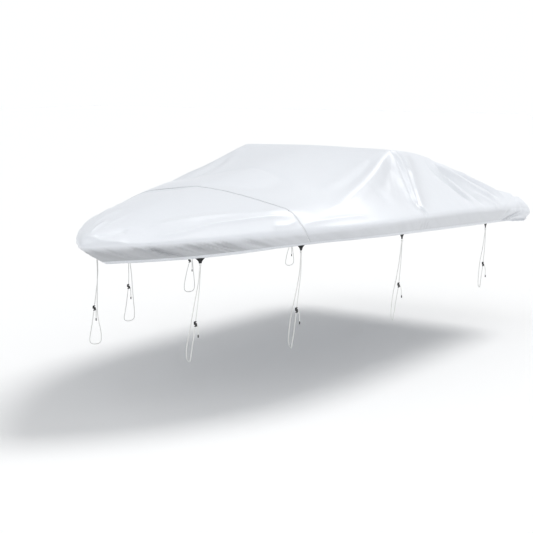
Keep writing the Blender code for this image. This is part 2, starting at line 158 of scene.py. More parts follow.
@dataclass(frozen=True)
class Fold:
    """A pulled fold: a ridge, or a trough where the height is under 0, along a line of the plan.

    Its widths are half widths at its first and last points. A fold that isn't mirrored has the
    sign of y in its path. Overrun is how far past its ends it still shows, as a share of its
    length. Lean widens or narrows its aft side where the line runs outwards. Grow is the share of
    the length over which it fades in and out. Waist is the width's factor at both ends.
    """

    path: tuple[Pair, ...]
    widths: Pair
    height: float
    mirrored: bool = True
    overrun: float = 0.05
    lean: float = 1.0
    grow: float = 0.22
    waist: float = 1.0


@dataclass(frozen=True)
class WrinkleFan:
    """Small wrinkles that radiate from a point of the plan, on both sides."""

    station: float
    y: float
    reach: float
    height: float
    turns: float


@dataclass(frozen=True)
class Creases:
    """Small creases all over the top: their height, their turns per metre and their noise's layer."""

    height: float
    along: float
    across: float
    layer: float


@dataclass(frozen=True)
class SeamSizes:
    """The felled seam's band, its two rows of stitches and the puckers beside it.

    Places are distances aft of the seam's edge. The puckers are stronger past the port shoulder.
    """

    rise: float = 0.0016
    band_starts: Span = (0.0005, 0.0020)
    band_ends: Span = (0.0135, 0.0155)
    lines: Pair = (0.0045, 0.0115)
    line_width: float = 0.0014
    line_depth: float = 0.0012
    pucker: float = 0.0016
    port_pucker: float = 0.0034
    port_span: Span = (0.70, 0.90)
    pucker_reach: float = 0.05
    pucker_turns: Pair = (2.0, 23.0)
    layer: float = 6.0


@dataclass(frozen=True)
class RippleSizes:
    """The skirt's ripples: how deep they are, and how they turn along and down the skirt."""

    side: float = 0.0026
    bow: float = 0.0300
    bow_middle: float = 0.45
    bow_reach: float = 0.46
    diagonal: float = 0.75
    slant: float = 0.16
    broad_turns: Pair = (17.0, 0.8)
    fine_turns: Pair = (37.0, 1.5)
    fine_share: float = 0.45
    gather: float = 0.006
    gather_middle: float = 2.66
    gather_reach: float = 0.09
    gather_turns: Pair = (42.0, 2.0)
    stern: float = 0.020
    stern_span: Span = (4.02, 4.30)
    stern_centre: float = 1.35
    stern_turns: Pair = (13.0, 0.5)
    stern_hold: float = 0.35
    flare: float = 0.022
    flare_span: Span = (4.40, 4.70)
    swell: float = 0.9
    layer: float = 4.0


@dataclass(frozen=True)
class ShadePainting:
    """How much painted shade darkens the cloth, from 0 to 1, and where along the cover."""

    skirt: float = 0.62
    skirt_growth: float = 3.0
    hem: float = 0.12
    aft: float = 0.5
    aft_span: Span = (2.0, 3.6)
    seam_top: float = 0.75
    seam_skirt: float = 0.35
    seam_middle: float = 0.004
    seam_reach: float = 0.006
    stitches: float = 0.30
    stitches_reach: float = 0.05
    bow: float = 0.72
    bow_growth: float = 4.0
    bow_middle: float = 0.25
    bow_reach: float = 0.55
    stern_less: float = 0.7
    stern_span: Span = (4.05, 4.40)
    fan_shade_limit: float = 0.5
    hollow_depth: float = 0.012
    hollow_limit: float = 0.45


SEAM = SeamSizes()
RIPPLES = RippleSizes()
SHADE_PAINTING = ShadePainting()
WRINKLE_FANS = (
    WrinkleFan(2.755, 0.700, 0.55, 0.0034, 9.0),
    WrinkleFan(3.330, 0.760, 0.75, 0.0024, 10.0),
    WrinkleFan(4.720, 0.990, 0.28, 0.0030, 7.0),
)
FAN_START = 0.12           # wrinkles of a fan grow over this distance from its middle
FAN_END = 2.5              # and end at this multiple of its reach
FAN_DRIFT = 1.6            # how fast they change along their length
FAN_LAYER = 5.0            # keeps the noise of the two sides apart
CREASES = (Creases(0.0022, 2.1, 3.3, 3.0), Creases(0.0009, 7.0, 9.0, 8.0))
HEM_FROM = 0.86            # share of the skirt's depth where the turned hem starts
HEM_ROWS = 6
HEM_ROLL = (0.12, 0.80)    # the part of half a turn that the hem's roll shows: its start and length
HEM_STAND = 0.35           # how far its flattest row stands out, as a share of the fullest one
SKIRT_ROWS = (0.04, 0.09, 0.15, 0.22, 0.30, 0.38, 0.47, 0.56, 0.65, 0.74, 0.82)
STARBOARD_FOLDS = 0.6      # the starboard folds are this much of the port ones
FOLD_MARGIN = 0.012        # folds of the top fade out this close to the gunwale
FOLD_BLUNT = 0.45          # how blunt a fold's crest is, as a share of its half width
FOLD_SPREAD = 0.75         # how far its flanks reach, as a share of its half width
WAIST_POWER = 0.7          # how soon a fold with a waist is at its full width
SLOPE_STEP = 0.004         # over which the top's slope is measured
EDGE_STEP = 0.01           # over which the turn of the gunwale is measured
EDGE_TOUCH = 1e-4          # a point this close to the gunwale is on it

SECTIONS = (
    Section(0.000, 0.012, 0.040, 0.050, 0.20),
    Section(0.150, 0.080, 0.050, 0.084, 0.45),
    Section(0.300, 0.120, 0.062, 0.115, 0.70),
    Section(0.500, 0.140, 0.088, 0.154, 0.85),
    Section(0.800, 0.135, 0.121, 0.205, 0.90),
    Section(1.240, 0.131, 0.139, 0.262, 0.90),
    Section(1.500, 0.165, 0.126, 0.303, 0.85),
    Section(1.750, 0.200, 0.142, 0.340, 0.90),
    Section(2.020, 0.250, 0.226, 0.382, 1.00),
    Section(2.320, 0.300, 0.322, 0.430, 1.08),
    Section(2.600, 0.370, 0.440, 0.486, 1.15),
    Section(2.755, 0.405, 0.500, 0.512, 1.15),
    Section(3.030, 0.381, 0.483, 0.490, 1.12),
    Section(3.330, 0.355, 0.437, 0.440, 1.10),
    Section(3.440, 0.330, 0.390, 0.388, 1.08),
    Section(3.650, 0.283, 0.342, 0.334, 1.05),
    Section(3.900, 0.225, 0.262, 0.245, 1.00),
    Section(4.340, 0.130, 0.160, 0.145, 0.80),
    Section(4.680, 0.085, 0.092, 0.080, 0.60),
    Section(4.790, 0.080, 0.070, 0.065, 0.60),
)

HEM = (
    HemMark(0.240, 0.006, 0.154),
    HemMark(0.300, 0.105, 0.149),
    HemMark(0.360, 0.198, 0.146),
    HemMark(0.450, 0.312, 0.142),
    HemMark(0.580, 0.440, 0.138),
    HemMark(0.850, 0.628, 0.130),
    HemMark(1.160, 0.770, 0.120),
    HemMark(1.460, 0.882, 0.115),
    HemMark(1.860, 0.990, 0.120),
    HemMark(2.330, 1.058, 0.126),
    HemMark(3.000, 1.072, 0.132),
    HemMark(3.800, 1.048, 0.127),
    HemMark(4.300, 1.025, 0.116),
    HemMark(4.790, 1.000, 0.122),
)

FOLDS = (
    # The ridge that climbs the front to the windscreen's corner, and the hollows beside it.
    Fold(((2.720, 0.722), (2.542, 0.758), (2.385, 0.784), (2.157, 0.830), (1.958, 0.866),
          (1.750, 0.884), (1.543, 0.890)), widths=(0.028, 0.040), height=0.016, overrun=0.02),
    Fold(((2.600, 0.640), (2.317, 0.658), (2.134, 0.680), (1.830, 0.680)),
         widths=(0.030, 0.050), height=0.006),
    Fold(((2.560, 0.700), (2.400, 0.726), (2.160, 0.758), (1.950, 0.790)),
         widths=(0.024, 0.044), height=-0.008),
    Fold(((2.660, 0.790), (2.540, 0.840), (2.380, 0.890), (2.200, 0.930)),
         widths=(0.035, 0.070), height=-0.014),
    # Folds that fan down from the windscreen's corner to a gathered point at the gunwale.
    Fold(((2.737, 0.734), (2.722, 0.773), (2.674, 0.827), (2.643, 0.885), (2.604, 0.944),
          (2.575, 1.007), (2.583, 1.062)),
         widths=(0.036, 0.032), height=0.018, overrun=0.1, lean=0.7, waist=0.4),
    Fold(((2.774, 0.736), (2.772, 0.775), (2.741, 0.831), (2.705, 0.889), (2.672, 0.947),
          (2.616, 1.010), (2.599, 1.069)),
         widths=(0.026, 0.024), height=-0.012, overrun=0.1, waist=0.4),
    Fold(((2.805, 0.737), (2.819, 0.777), (2.785, 0.833), (2.751, 0.891), (2.707, 0.950),
          (2.656, 1.011), (2.624, 1.070)),
         widths=(0.034, 0.028), height=0.020, overrun=0.1, lean=0.7, waist=0.4),
    Fold(((2.842, 0.744), (2.862, 0.780), (2.852, 0.837), (2.794, 0.894), (2.752, 0.952),
          (2.692, 1.013), (2.652, 1.072)),
         widths=(0.024, 0.022), height=-0.012, overrun=0.1, waist=0.4),
    Fold(((2.886, 0.747), (2.909, 0.781), (2.893, 0.838), (2.838, 0.896), (2.790, 0.954),
          (2.729, 1.015), (2.674, 1.073)),
         widths=(0.026, 0.024), height=0.007, overrun=0.1, lean=0.8, waist=0.4),
    # The gathered point itself.
    Fold(((2.596, 1.050), (2.622, 1.085), (2.650, 1.118)),
         widths=(0.010, 0.010), height=0.014, overrun=0.3),
    Fold(((2.640, 1.045), (2.656, 1.080), (2.672, 1.118)),
         widths=(0.008, 0.008), height=-0.014, overrun=0.3),
    Fold(((2.676, 1.058), (2.690, 1.086), (2.700, 1.118)),
         widths=(0.010, 0.010), height=0.012, overrun=0.3),
    # Folds from the aft end of the windscreen's wing towards the stern.
    Fold(((3.212, 0.791), (3.266, 0.858), (3.370, 0.918), (3.482, 0.984), (3.573, 1.052)),
         widths=(0.016, 0.018), height=-0.018),
    Fold(((3.287, 0.800), (3.362, 0.861), (3.450, 0.922), (3.540, 0.996), (3.620, 1.075)),
         widths=(0.010, 0.013), height=0.016),
    Fold(((3.355, 0.789), (3.450, 0.855), (3.563, 0.924), (3.690, 1.000), (3.800, 1.078)),
         widths=(0.014, 0.019), height=-0.019),
    Fold(((3.360, 0.778), (3.500, 0.833), (3.640, 0.892), (3.810, 0.951), (3.993, 1.010),
          (4.120, 1.072)), widths=(0.015, 0.019), height=0.026, overrun=0.02, lean=2.6),
    Fold(((3.560, 0.822), (3.700, 0.863), (3.860, 0.902), (4.030, 0.950), (4.180, 1.020)),
         widths=(0.012, 0.015), height=-0.020),
    Fold(((3.690, 0.828), (3.850, 0.868), (4.020, 0.910), (4.190, 0.962), (4.300, 1.020)),
         widths=(0.011, 0.015), height=0.013),
    Fold(((3.800, 0.822), (4.000, 0.872), (4.200, 0.925), (4.380, 0.985)),
         widths=(0.013, 0.018), height=-0.012),
    Fold(((3.740, 0.985), (3.900, 1.035), (4.020, 1.082)), widths=(0.012, 0.012), height=0.012),
    # Pulls at the stern's corner.
    Fold(((4.040, 1.098), (4.150, 1.080), (4.260, 1.055), (4.400, 1.020), (4.520, 0.975)),
         widths=(0.016, 0.026), height=0.010, overrun=0.1),
    Fold(((4.330, 1.085), (4.430, 1.055), (4.540, 1.010), (4.620, 0.950)),
         widths=(0.014, 0.020), height=-0.007, overrun=0.1),
    Fold(((4.450, 1.085), (4.540, 1.055), (4.640, 1.000), (4.700, 0.930)),
         widths=(0.014, 0.020), height=0.006, overrun=0.1),
    # The foredeck's long soft lines, from the seam towards the bow.
    Fold(((1.215, 0.787), (0.962, 0.620), (0.716, 0.440), (0.533, 0.309), (0.400, 0.240)),
         widths=(0.014, 0.022), height=0.009),
    Fold(((1.215, 0.828), (0.871, 0.645), (0.686, 0.532), (0.520, 0.450), (0.340, 0.335)),
         widths=(0.014, 0.020), height=0.010),
    Fold(((1.150, 0.720), (0.850, 0.560), (0.620, 0.430)), widths=(0.020, 0.026), height=-0.007),
    Fold(((1.235, 0.870), (1.140, 0.850), (1.040, 0.800)), widths=(0.014, 0.020), height=0.008),
    Fold(((1.245, 0.900), (1.420, 0.940), (1.640, 0.985), (1.900, 1.040)),
         widths=(0.016, 0.024), height=0.010),
    # Puckers of the bow's point.
    Fold(((0.060, 0.020), (0.090, -0.095), (0.190, -0.225)),
         widths=(0.012, 0.018), height=0.010, mirrored=False),
    Fold(((0.110, 0.020), (0.230, 0.060), (0.330, 0.080)),
         widths=(0.012, 0.020), height=0.009, mirrored=False),
    Fold(((0.250, 0.140), (0.420, 0.175), (0.560, 0.160)),
         widths=(0.014, 0.022), height=0.007, mirrored=False),
    Fold(((0.085, -0.030), (0.160, -0.090), (0.290, -0.150)),
         widths=(0.012, 0.018), height=-0.009, mirrored=False),
    # Pulls of the front slope, down from the starboard corner.
    Fold(((2.660, 0.715), (2.450, 0.640), (2.117, 0.470), (1.854, 0.390), (1.600, 0.390),
          (1.400, 0.420)),
         widths=(0.030, 0.050), height=0.015, mirrored=False, overrun=0.0, grow=0.3),
    Fold(((2.640, 0.725), (2.452, 0.680), (2.147, 0.590), (1.900, 0.550), (1.600, 0.550)),
         widths=(0.026, 0.040), height=-0.013, mirrored=False, overrun=0.0, grow=0.3),
    Fold(((2.600, 0.725), (2.325, 0.735), (2.061, 0.700), (1.850, 0.670), (1.600, 0.610),
          (1.340, 0.520)),
         widths=(0.028, 0.050), height=0.014, mirrored=False, overrun=0.0, grow=0.25),
    # The cloth sags along the seam on the starboard side, and lies fuller behind it.
    Fold(((1.210, 0.000), (1.195, 0.200), (1.190, 0.400), (1.190, 0.600)),
         widths=(0.080, 0.080), height=-0.025, mirrored=False, overrun=0.0, grow=0.45),
    Fold(((1.330, 0.480), (1.600, 0.640), (1.900, 0.800), (2.200, 0.860), (2.500, 0.820)),
         widths=(0.150, 0.120), height=0.010, mirrored=False, overrun=0.0, grow=0.45),
)
SHADED = (
    # Painted shade in the hollows beside the fan's folds, where the cloth faces away from the light.
    Fold(((2.690, 0.745), (2.646, 0.769), (2.555, 0.820), (2.467, 0.873), (2.362, 0.927),
          (2.273, 0.972)), widths=(0.060, 0.150), height=0.30, overrun=0.0, grow=0.3, waist=0.5),
    Fold(((1.805, 0.930), (1.937, 0.935), (2.105, 0.920), (2.266, 0.885), (2.386, 0.840)),
         widths=(0.050, 0.110), height=0.26, overrun=0.0, grow=0.4),
    Fold(((3.003, 0.756), (2.974, 0.801), (2.924, 0.858), (2.872, 0.915), (2.797, 0.986),
          (2.711, 1.061)), widths=(0.065, 0.050), height=0.34, overrun=0.1, waist=0.6),
    Fold(((2.758, 0.735), (2.747, 0.774), (2.707, 0.829), (2.674, 0.887), (2.638, 0.946),
          (2.600, 1.008)), widths=(0.022, 0.018), height=0.30, overrun=0.1, waist=0.6),
    Fold(((2.842, 0.744), (2.850, 0.780), (2.822, 0.836), (2.778, 0.893), (2.732, 0.951),
          (2.680, 1.012)), widths=(0.022, 0.018), height=0.34, overrun=0.1, waist=0.6),
)


@dataclass(frozen=True)
class TieRoute:
    """One tie of the port side, as points (station, y, height) that its ropes pass."""

    tab: float
    long: tuple[Point, ...]
    stay: tuple[Point, ...]
    cleat: Point
    free: tuple[Point, ...]
    tip: Point


TIES = (
    TieRoute(
        tab=0.638,
        long=((0.6295, -0.473, 0.930), (0.606, -0.455, 0.779), (0.584, -0.438, 0.626),
              (0.581, -0.420, 0.545), (0.582, -0.404, 0.484), (0.580, -0.400, 0.430),
              (0.575, -0.407, 0.404), (0.560, -0.432, 0.391), (0.544, -0.458, 0.392),
              (0.537, -0.471, 0.406), (0.539, -0.475, 0.432), (0.551, -0.475, 0.480),
              (0.572, -0.475, 0.562)),
        stay=((0.638, -0.476, 0.908), (0.618, -0.475, 0.779)),
        cleat=(0.591, -0.475, 0.646),
        free=((0.6115, -0.477, 0.625), (0.613, -0.479, 0.600)),
        tip=(0.613, -0.480, 0.557)),
    TieRoute(
        tab=1.332,
        long=((1.340, -0.820, 0.951), (1.337, -0.800, 0.834), (1.330, -0.782, 0.735),
              (1.320, -0.768, 0.660), (1.314, -0.754, 0.565), (1.313, -0.746, 0.500),
              (1.311, -0.743, 0.440), (1.306, -0.750, 0.412), (1.289, -0.773, 0.397),
              (1.270, -0.797, 0.398), (1.261, -0.807, 0.414), (1.266, -0.808, 0.440),
              (1.284, -0.808, 0.500), (1.301, -0.808, 0.580)),
        stay=((1.345, -0.826, 0.937), (1.332, -0.815, 0.789)),
        cleat=(1.318, -0.808, 0.664),
        free=((1.342, -0.810, 0.648), (1.348, -0.812, 0.622)),
        tip=(1.350, -0.813, 0.566)),
    TieRoute(
        tab=2.378,
        long=((2.374, -1.040, 0.912), (2.364, -1.020, 0.763), (2.356, -1.003, 0.669),
              (2.354, -0.990, 0.568), (2.353, -0.985, 0.500), (2.347, -0.990, 0.468),
              (2.326, -1.008, 0.452), (2.301, -1.031, 0.453), (2.288, -1.043, 0.468),
              (2.287, -1.047, 0.490), (2.300, -1.049, 0.545), (2.325, -1.047, 0.625)),
        stay=((2.376, -1.052, 0.898),),
        cleat=(2.360, -1.045, 0.720),
        free=((2.388, -1.046, 0.705), (2.398, -1.048, 0.680)),
        tip=(2.400, -1.050, 0.624)),
    TieRoute(
        tab=3.868,
        long=((3.872, -1.027, 0.870), (3.866, -1.012, 0.769), (3.864, -1.000, 0.694),
              (3.870, -0.990, 0.603), (3.874, -0.985, 0.535), (3.868, -0.989, 0.504),
              (3.848, -1.004, 0.488), (3.824, -1.024, 0.488), (3.810, -1.035, 0.503),
              (3.812, -1.037, 0.530), (3.833, -1.035, 0.600)),
        stay=((3.880, -1.036, 0.842),),
        cleat=(3.867, -1.030, 0.687),
        free=((3.897, -1.032, 0.668), (3.907, -1.034, 0.640)),
        tip=(3.909, -1.035, 0.575)),
)


@dataclass(frozen=True)
class TieSizes:
    """Sizes of a tab and of its tie's parts."""

    tab_width: float = 0.056
    tab_foot: float = 0.016
    tab_drop: float = 0.036
    tab_thick: float = 0.0028
    tab_gap: float = 0.0006
    tab_inward: float = 0.003
    tab_edge: float = 0.0006
    rope: float = 0.006
    knot_radius: float = 0.0095
    knot_stretch: float = 1.2
    knot_depth: float = 0.55
    touch: float = 0.0003
    cleat_width: float = 0.024
    cleat_depth: float = 0.011
    cleat_height: float = 0.038
    cleat_edge: float = 0.0012
    tip_length: float = 0.020
    tip_radius: float = 0.0045
    spread: float = 0.0035


TAB_GRID = (12, 14)        # columns and rows of a tab's mesh
KNOT_STEPS = 48
TIP_STEPS = 20
# Bar tacks on a tab, each from a place across and down it to another, as shares of its size.
TACKS = (((-0.40, 0.08), (0.40, 0.08)), ((-0.30, 0.34), (0.30, 0.34)),
         ((-0.38, 0.10), (0.28, 0.32)), ((0.38, 0.10), (-0.28, 0.32)))
TACK_POINTS = 9
# Half of the cleat's S-shaped outline, as shares of its half width and half height.
CLEAT_OUTLINE = ((-1.00, 0.15), (-1.00, 0.70), (-0.80, 0.93), (-0.35, 1.00), (0.50, 1.00),
                 (0.62, 0.85), (0.50, 0.66), (-0.20, 0.62), (-0.30, 0.40), (0.70, 0.30),
                 (0.95, 0.12))
# The tip's outline, as shares of its radius and its length: a sleeve with two grip rings.
TIP_PROFILE = ((0.0, 0.5), (0.72, 0.5), (0.80, 0.46), (0.86, 0.30), (1.0, 0.27), (1.0, 0.19),
               (0.88, 0.16), (0.88, 0.04), (1.0, 0.01), (1.0, -0.07), (0.92, -0.10),
               (0.96, -0.38), (0.75, -0.47), (0.35, -0.5), (0.0, -0.5))


# --- Finishes -----------------------------------------------------------------------------------


@dataclass(frozen=True)
class Finish:
    """What a material looks like. Colours are linear."""

    name: str
    slot: str
    colour: Colour
    shade: Colour
    roughness: float
    weave: float
    relief: float
    specular: float = 0.4
    sheen: float = 0.0


CLOTH = Finish("coated_cloth", "cloth", (0.83, 0.85, 0.885), (0.75, 0.775, 0.82), 0.40, 0.0013,
               0.00012, specular=0.5)
THREAD = Finish("seam_thread", "cloth", (0.50, 0.53, 0.57), (0.38, 0.40, 0.43), 0.6, 0.0006, 0.0001)
BACKING = Finish("cloth_backing", "cloth", (0.60, 0.62, 0.65), (0.48, 0.50, 0.53), 0.78, 0.0016,
                 0.0002, specular=0.25)
TACK_THREAD = Finish("tack_thread", "webbing", (0.045, 0.045, 0.048), (0.02, 0.02, 0.022), 0.6,
                     0.0006, 0.0001)
WEBBING = Finish("black_webbing", "webbing", (0.016, 0.016, 0.018), (0.006, 0.006, 0.007), 0.75,
                 0.0022, 0.0003, sheen=0.2)
ROPE = Finish("white_cord", "rope", (0.88, 0.88, 0.86), (0.68, 0.68, 0.66), 0.7, 0.0034, 0.0005,
              sheen=0.2)
PLASTIC = Finish("black_plastic", "cleat_plastic", (0.014, 0.014, 0.015), (0.008, 0.008, 0.008),
                 0.38, 0.0009, 0.00003)
SHADE_GREY = (0.47, 0.48, 0.50)  # the grey of the painted shade


class NodeNet:
    """A small helper that places nodes in a tree and links them."""

    def __init__(self, tree: bpy.types.NodeTree) -> None:
        """Keeps the tree that the nodes go in.

        Args:
            tree: a material's node tree or a node group.
        """
        self.tree = tree
        self.column = 0

    def add(self, kind: str, values: dict | None = None,
            **settings: object) -> bpy.types.Node:
        """Adds a node, with its settings, and with its inputs' values or links.

        Args:
            kind: the node's type name, without the leading ShaderNode.
            values: input name or index, to a number, a colour or another node's output.
            **settings: attributes of the node.

        Returns:
            The new node.
        """
        node = self.tree.nodes.new("ShaderNode" + kind)
        node.location = (180 * self.column, 0)
        self.column += 1
        for key, value in settings.items():
            setattr(node, key, value)
        for key, value in (values or {}).items():
            if isinstance(value, bpy.types.NodeSocket):
                self.tree.links.new(value, node.inputs[key])
            else:
                node.inputs[key].default_value = value
        return node

    def math(self, operation: str, first: bpy.types.NodeSocket | float,
             second: bpy.types.NodeSocket | float = 0.0) -> bpy.types.NodeSocket:
        """Adds a maths node.

        Args:
            operation: the operation's name.
            first: a number or an output.
            second: a number or an output.

        Returns:
            The result's output.
        """
        return self.add("Math", {0: first, 1: second}, operation=operation).outputs[0]


def new_group(name: str, inputs: Iterable[tuple[str, str, float]],
              outputs: Iterable[tuple[str, str]]) -> tuple[bpy.types.NodeTree, NodeNet]:
    """Makes an empty node group with named sockets.

    Args:
        name: the group's name.
        inputs: name, socket type and default value of each input.
        outputs: name and socket type of each output.

    Returns:
        The group, and a helper for its nodes.
    """
    group = bpy.data.node_groups.new(name, "ShaderNodeTree")
    for label, kind, default in inputs:
        socket = group.interface.new_socket(label, in_out="INPUT", socket_type=kind)
        if kind == "NodeSocketFloat":
            socket.default_value = default
    for label, kind in outputs:
        group.interface.new_socket(label, in_out="OUTPUT", socket_type=kind)
    return group, NodeNet(group)


class Materials:
    """Builds each finish's material. The weave and the colour drift are shared node groups."""

    GAP_TONE = 0.25            # how much darker the gaps between threads are: painted shade in the weave's hollows
    SHADE_SHARE = 0.7           # how much of the finish the fullest painted shade covers
    DRIFT_ROUGH = 0.25         # how far the drift of tone also changes the roughness
    DRIFT_MEAN = 0.06          # taken off first, so that the finish's own roughness is kept
    BUMP = 0.6
    BROAD_SHARE = 0.7          # of the slow drift; the rest is the mottle
    MOTTLE_SCALE = 9.0         # the mottle's scale, as a multiple of the drift's

    def __init__(self) -> None:
        """Builds the shared groups."""
        self.weave = self._weave_group()
        self.drift = self._drift_group()
        self.made: dict[str, bpy.types.Material] = {}

    @staticmethod
    def _weave_group() -> bpy.types.NodeTree:
        """Height of a plain weave: two crossed sets of round threads, each over and under."""
        group, net = new_group(
            "thread_weave",
            (("Vector", "NodeSocketVector", 0.0), ("Pitch", "NodeSocketFloat", 0.001),
             ("Slant", "NodeSocketFloat", 0.0)),
            (("Height", "NodeSocketFloat"),))
        source = group.nodes.new("NodeGroupInput")
        split = net.add("SeparateXYZ", {0: source.outputs["Vector"]})
        across = net.math("ADD", split.outputs[0],
                          net.math("MULTIPLY", split.outputs[1], source.outputs["Slant"]))
        along = net.math("SUBTRACT", split.outputs[1],
                         net.math("MULTIPLY", split.outputs[0], source.outputs["Slant"]))
        turns = net.math("DIVIDE", math.pi, source.outputs["Pitch"])
        first = net.math("SINE", net.math("MULTIPLY", across, turns))
        second = net.math("SINE", net.math("MULTIPLY", along, turns))
        warp = net.math("ABSOLUTE", first)
        weft = net.math("ABSOLUTE", second)
        over = net.math("GREATER_THAN", net.math("MULTIPLY", first, second), 0.0)
        mixed = net.add("Mix", {"Factor": over, "A": warp, "B": weft}, data_type="FLOAT")
        target = group.nodes.new("NodeGroupOutput")
        group.links.new(mixed.outputs["Result"], target.inputs["Height"])
        return group

    def _drift_group(self) -> bpy.types.NodeTree:
        """Slow drift of tone over a surface, with a finer mottle: handling marks and dust."""
        group, net = new_group(
            "tone_drift",
            (("Vector", "NodeSocketVector", 0.0), ("Scale", "NodeSocketFloat", 2.0),
             ("Strength", "NodeSocketFloat", 0.5)),
            (("Amount", "NodeSocketFloat"),))
        source = group.nodes.new("NodeGroupInput")
        broad = net.add("TexNoise", {"Vector": source.outputs["Vector"],
                                     "Scale": source.outputs["Scale"], "Detail": 3.0})
        fine = net.add("TexNoise", {
            "Vector": source.outputs["Vector"],
            "Scale": net.math("MULTIPLY", source.outputs["Scale"], self.MOTTLE_SCALE),
            "Detail": 4.0})
        both = net.math("ADD", net.math("MULTIPLY", broad.outputs[0], self.BROAD_SHARE),
                        net.math("MULTIPLY", fine.outputs[0], 1 - self.BROAD_SHARE))
        result = net.math("MULTIPLY", both, source.outputs["Strength"])
        target = group.nodes.new("NodeGroupOutput")
        group.links.new(result, target.inputs["Amount"])
        return group

    def get(self, finish: Finish, use_uv: bool = False) -> bpy.types.Material:
        """The material of a finish, made on its first use.

        Args:
            finish: what it looks like.
            use_uv: whether the weave follows the piece's own UV map, in metres.

        Returns:
            The material.
        """
        if finish.name not in self.made:
            self.made[finish.name] = self._dress(finish, use_uv)
        return self.made[finish.name]

    def _dress(self, finish: Finish, use_uv: bool) -> bpy.types.Material:
        """Makes the material of a finish: its weave, its drift of tone and its painted shade.

        Args:
            finish: what it looks like.
            use_uv: whether the weave follows the UV map.

        Returns:
            The material.
        """
        material = bpy.data.materials.new(finish.name)
        material.use_nodes = True
        net = NodeNet(material.node_tree)
        links = material.node_tree.links
        shader = material.node_tree.nodes["Principled BSDF"]
        weave = net.add("Group", node_tree=self.weave)
        links.new(net.add("TexCoord").outputs["UV" if use_uv else "Object"],
                  weave.inputs["Vector"])
        weave.inputs["Pitch"].default_value = finish.weave
        weave.inputs["Slant"].default_value = 1.0 if finish is ROPE else 0.0
        drift = net.add("Group", node_tree=self.drift)
        links.new(net.add("TexCoord").outputs["Object"], drift.inputs["Vector"])
        amount, height = drift.outputs["Amount"], weave.outputs["Height"]
        # Painted shade in the weave's gaps: the colour darkens where the threads dip.
        gap_shade = net.math("MULTIPLY", net.math("SUBTRACT", 1.0, height), self.GAP_TONE)
        colour = net.add("Mix", {"Factor": net.math("ADD", amount, gap_shade),
                                 "A": (*finish.colour, 1.0), "B": (*finish.shade, 1.0)},
                         data_type="RGBA")
        # Painted shade: each vertex's amount mixes the colour towards a grey.
        shade_amount = net.add("Attribute", attribute_name="painted_shade").outputs["Fac"]
        shade_paint = net.add("Mix", {"Factor": net.math("MULTIPLY", shade_amount, self.SHADE_SHARE),
                                 "A": colour.outputs["Result"], "B": (*SHADE_GREY, 1.0)},
                         data_type="RGBA")
        links.new(shade_paint.outputs["Result"], shader.inputs["Base Color"])
        rough = net.math("ADD", finish.roughness - self.DRIFT_MEAN,
                         net.math("MULTIPLY", amount, self.DRIFT_ROUGH))
        links.new(rough, shader.inputs["Roughness"])
        bump = net.add("Bump", {"Height": height, "Strength": self.BUMP,
                                "Distance": finish.relief})
        links.new(bump.outputs["Normal"], shader.inputs["Normal"])
        shader.inputs["Specular IOR Level"].default_value = finish.specular
        shader.inputs["Sheen Weight"].default_value = finish.sheen
        return material


# --- The cloth's form ---------------------------------------------------------------------------


def monotone(xs: np.ndarray, ys: np.ndarray, x: np.ndarray) -> np.ndarray:
    """A smooth curve through a table's points that never overshoots them.

    Args:
        xs: the table's places, rising.
        ys: the table's values.
        x: where the curve is wanted.

    Returns:
        The curve's values.
    """
    chord = np.diff(ys) / np.diff(xs)
    slope = np.empty(len(xs))
    slope[0], slope[-1] = chord[0], chord[-1]
    product = chord[:-1] * chord[1:]
    total = chord[:-1] + chord[1:]
    safe = np.where(np.abs(total) > 1e-12, total, 1.0)
    slope[1:-1] = np.where(product > 0, 2 * product / safe, 0.0)
    x = np.clip(x, xs[0], xs[-1])
    i = np.clip(np.searchsorted(xs, x) - 1, 0, len(xs) - 2)
    step = xs[i + 1] - xs[i]
    t = (x - xs[i]) / step
    level = ys[i] + (ys[i + 1] - ys[i]) * t * t * (3 - 2 * t)
    bend = slope[i] * t * (1 - t) ** 2 - slope[i + 1] * t * t * (1 - t)
    return level + step * bend


def noise_at(x: np.ndarray | float, y: np.ndarray | float, z: np.ndarray | float) -> np.ndarray:
    """Smooth noise at many places.

    Args:
        x: first coordinates.
        y: second coordinates.
        z: third coordinates.

    Returns:
        The noise at each place.
    """
    x, y, z = np.broadcast_arrays(x, y, z)
    drawn = [noise.noise(Vector(place)) for place in zip(x.ravel(), y.ravel(), z.ravel())]
    return np.array(drawn).reshape(x.shape)


def bell(value: np.ndarray | float, middle: float, reach: float) -> np.ndarray:
    """A smooth bell: 1 at the middle, and down to 0.37 at its reach."""
    return np.exp(-((value - middle) / reach) ** 2)


def soft_step(value: np.ndarray, low: float, high: float) -> np.ndarray:
    """A smooth step from 0 at low to 1 at high."""
    t = np.clip((value - low) / (high - low), 0.0, 1.0)
    return t * t * (3 - 2 * t)


def soft_fade(value: np.ndarray, low: float, high: float) -> np.ndarray:
    """A smooth step from 1 at low to 0 at high."""
    return soft_step(-value, -high, -low)


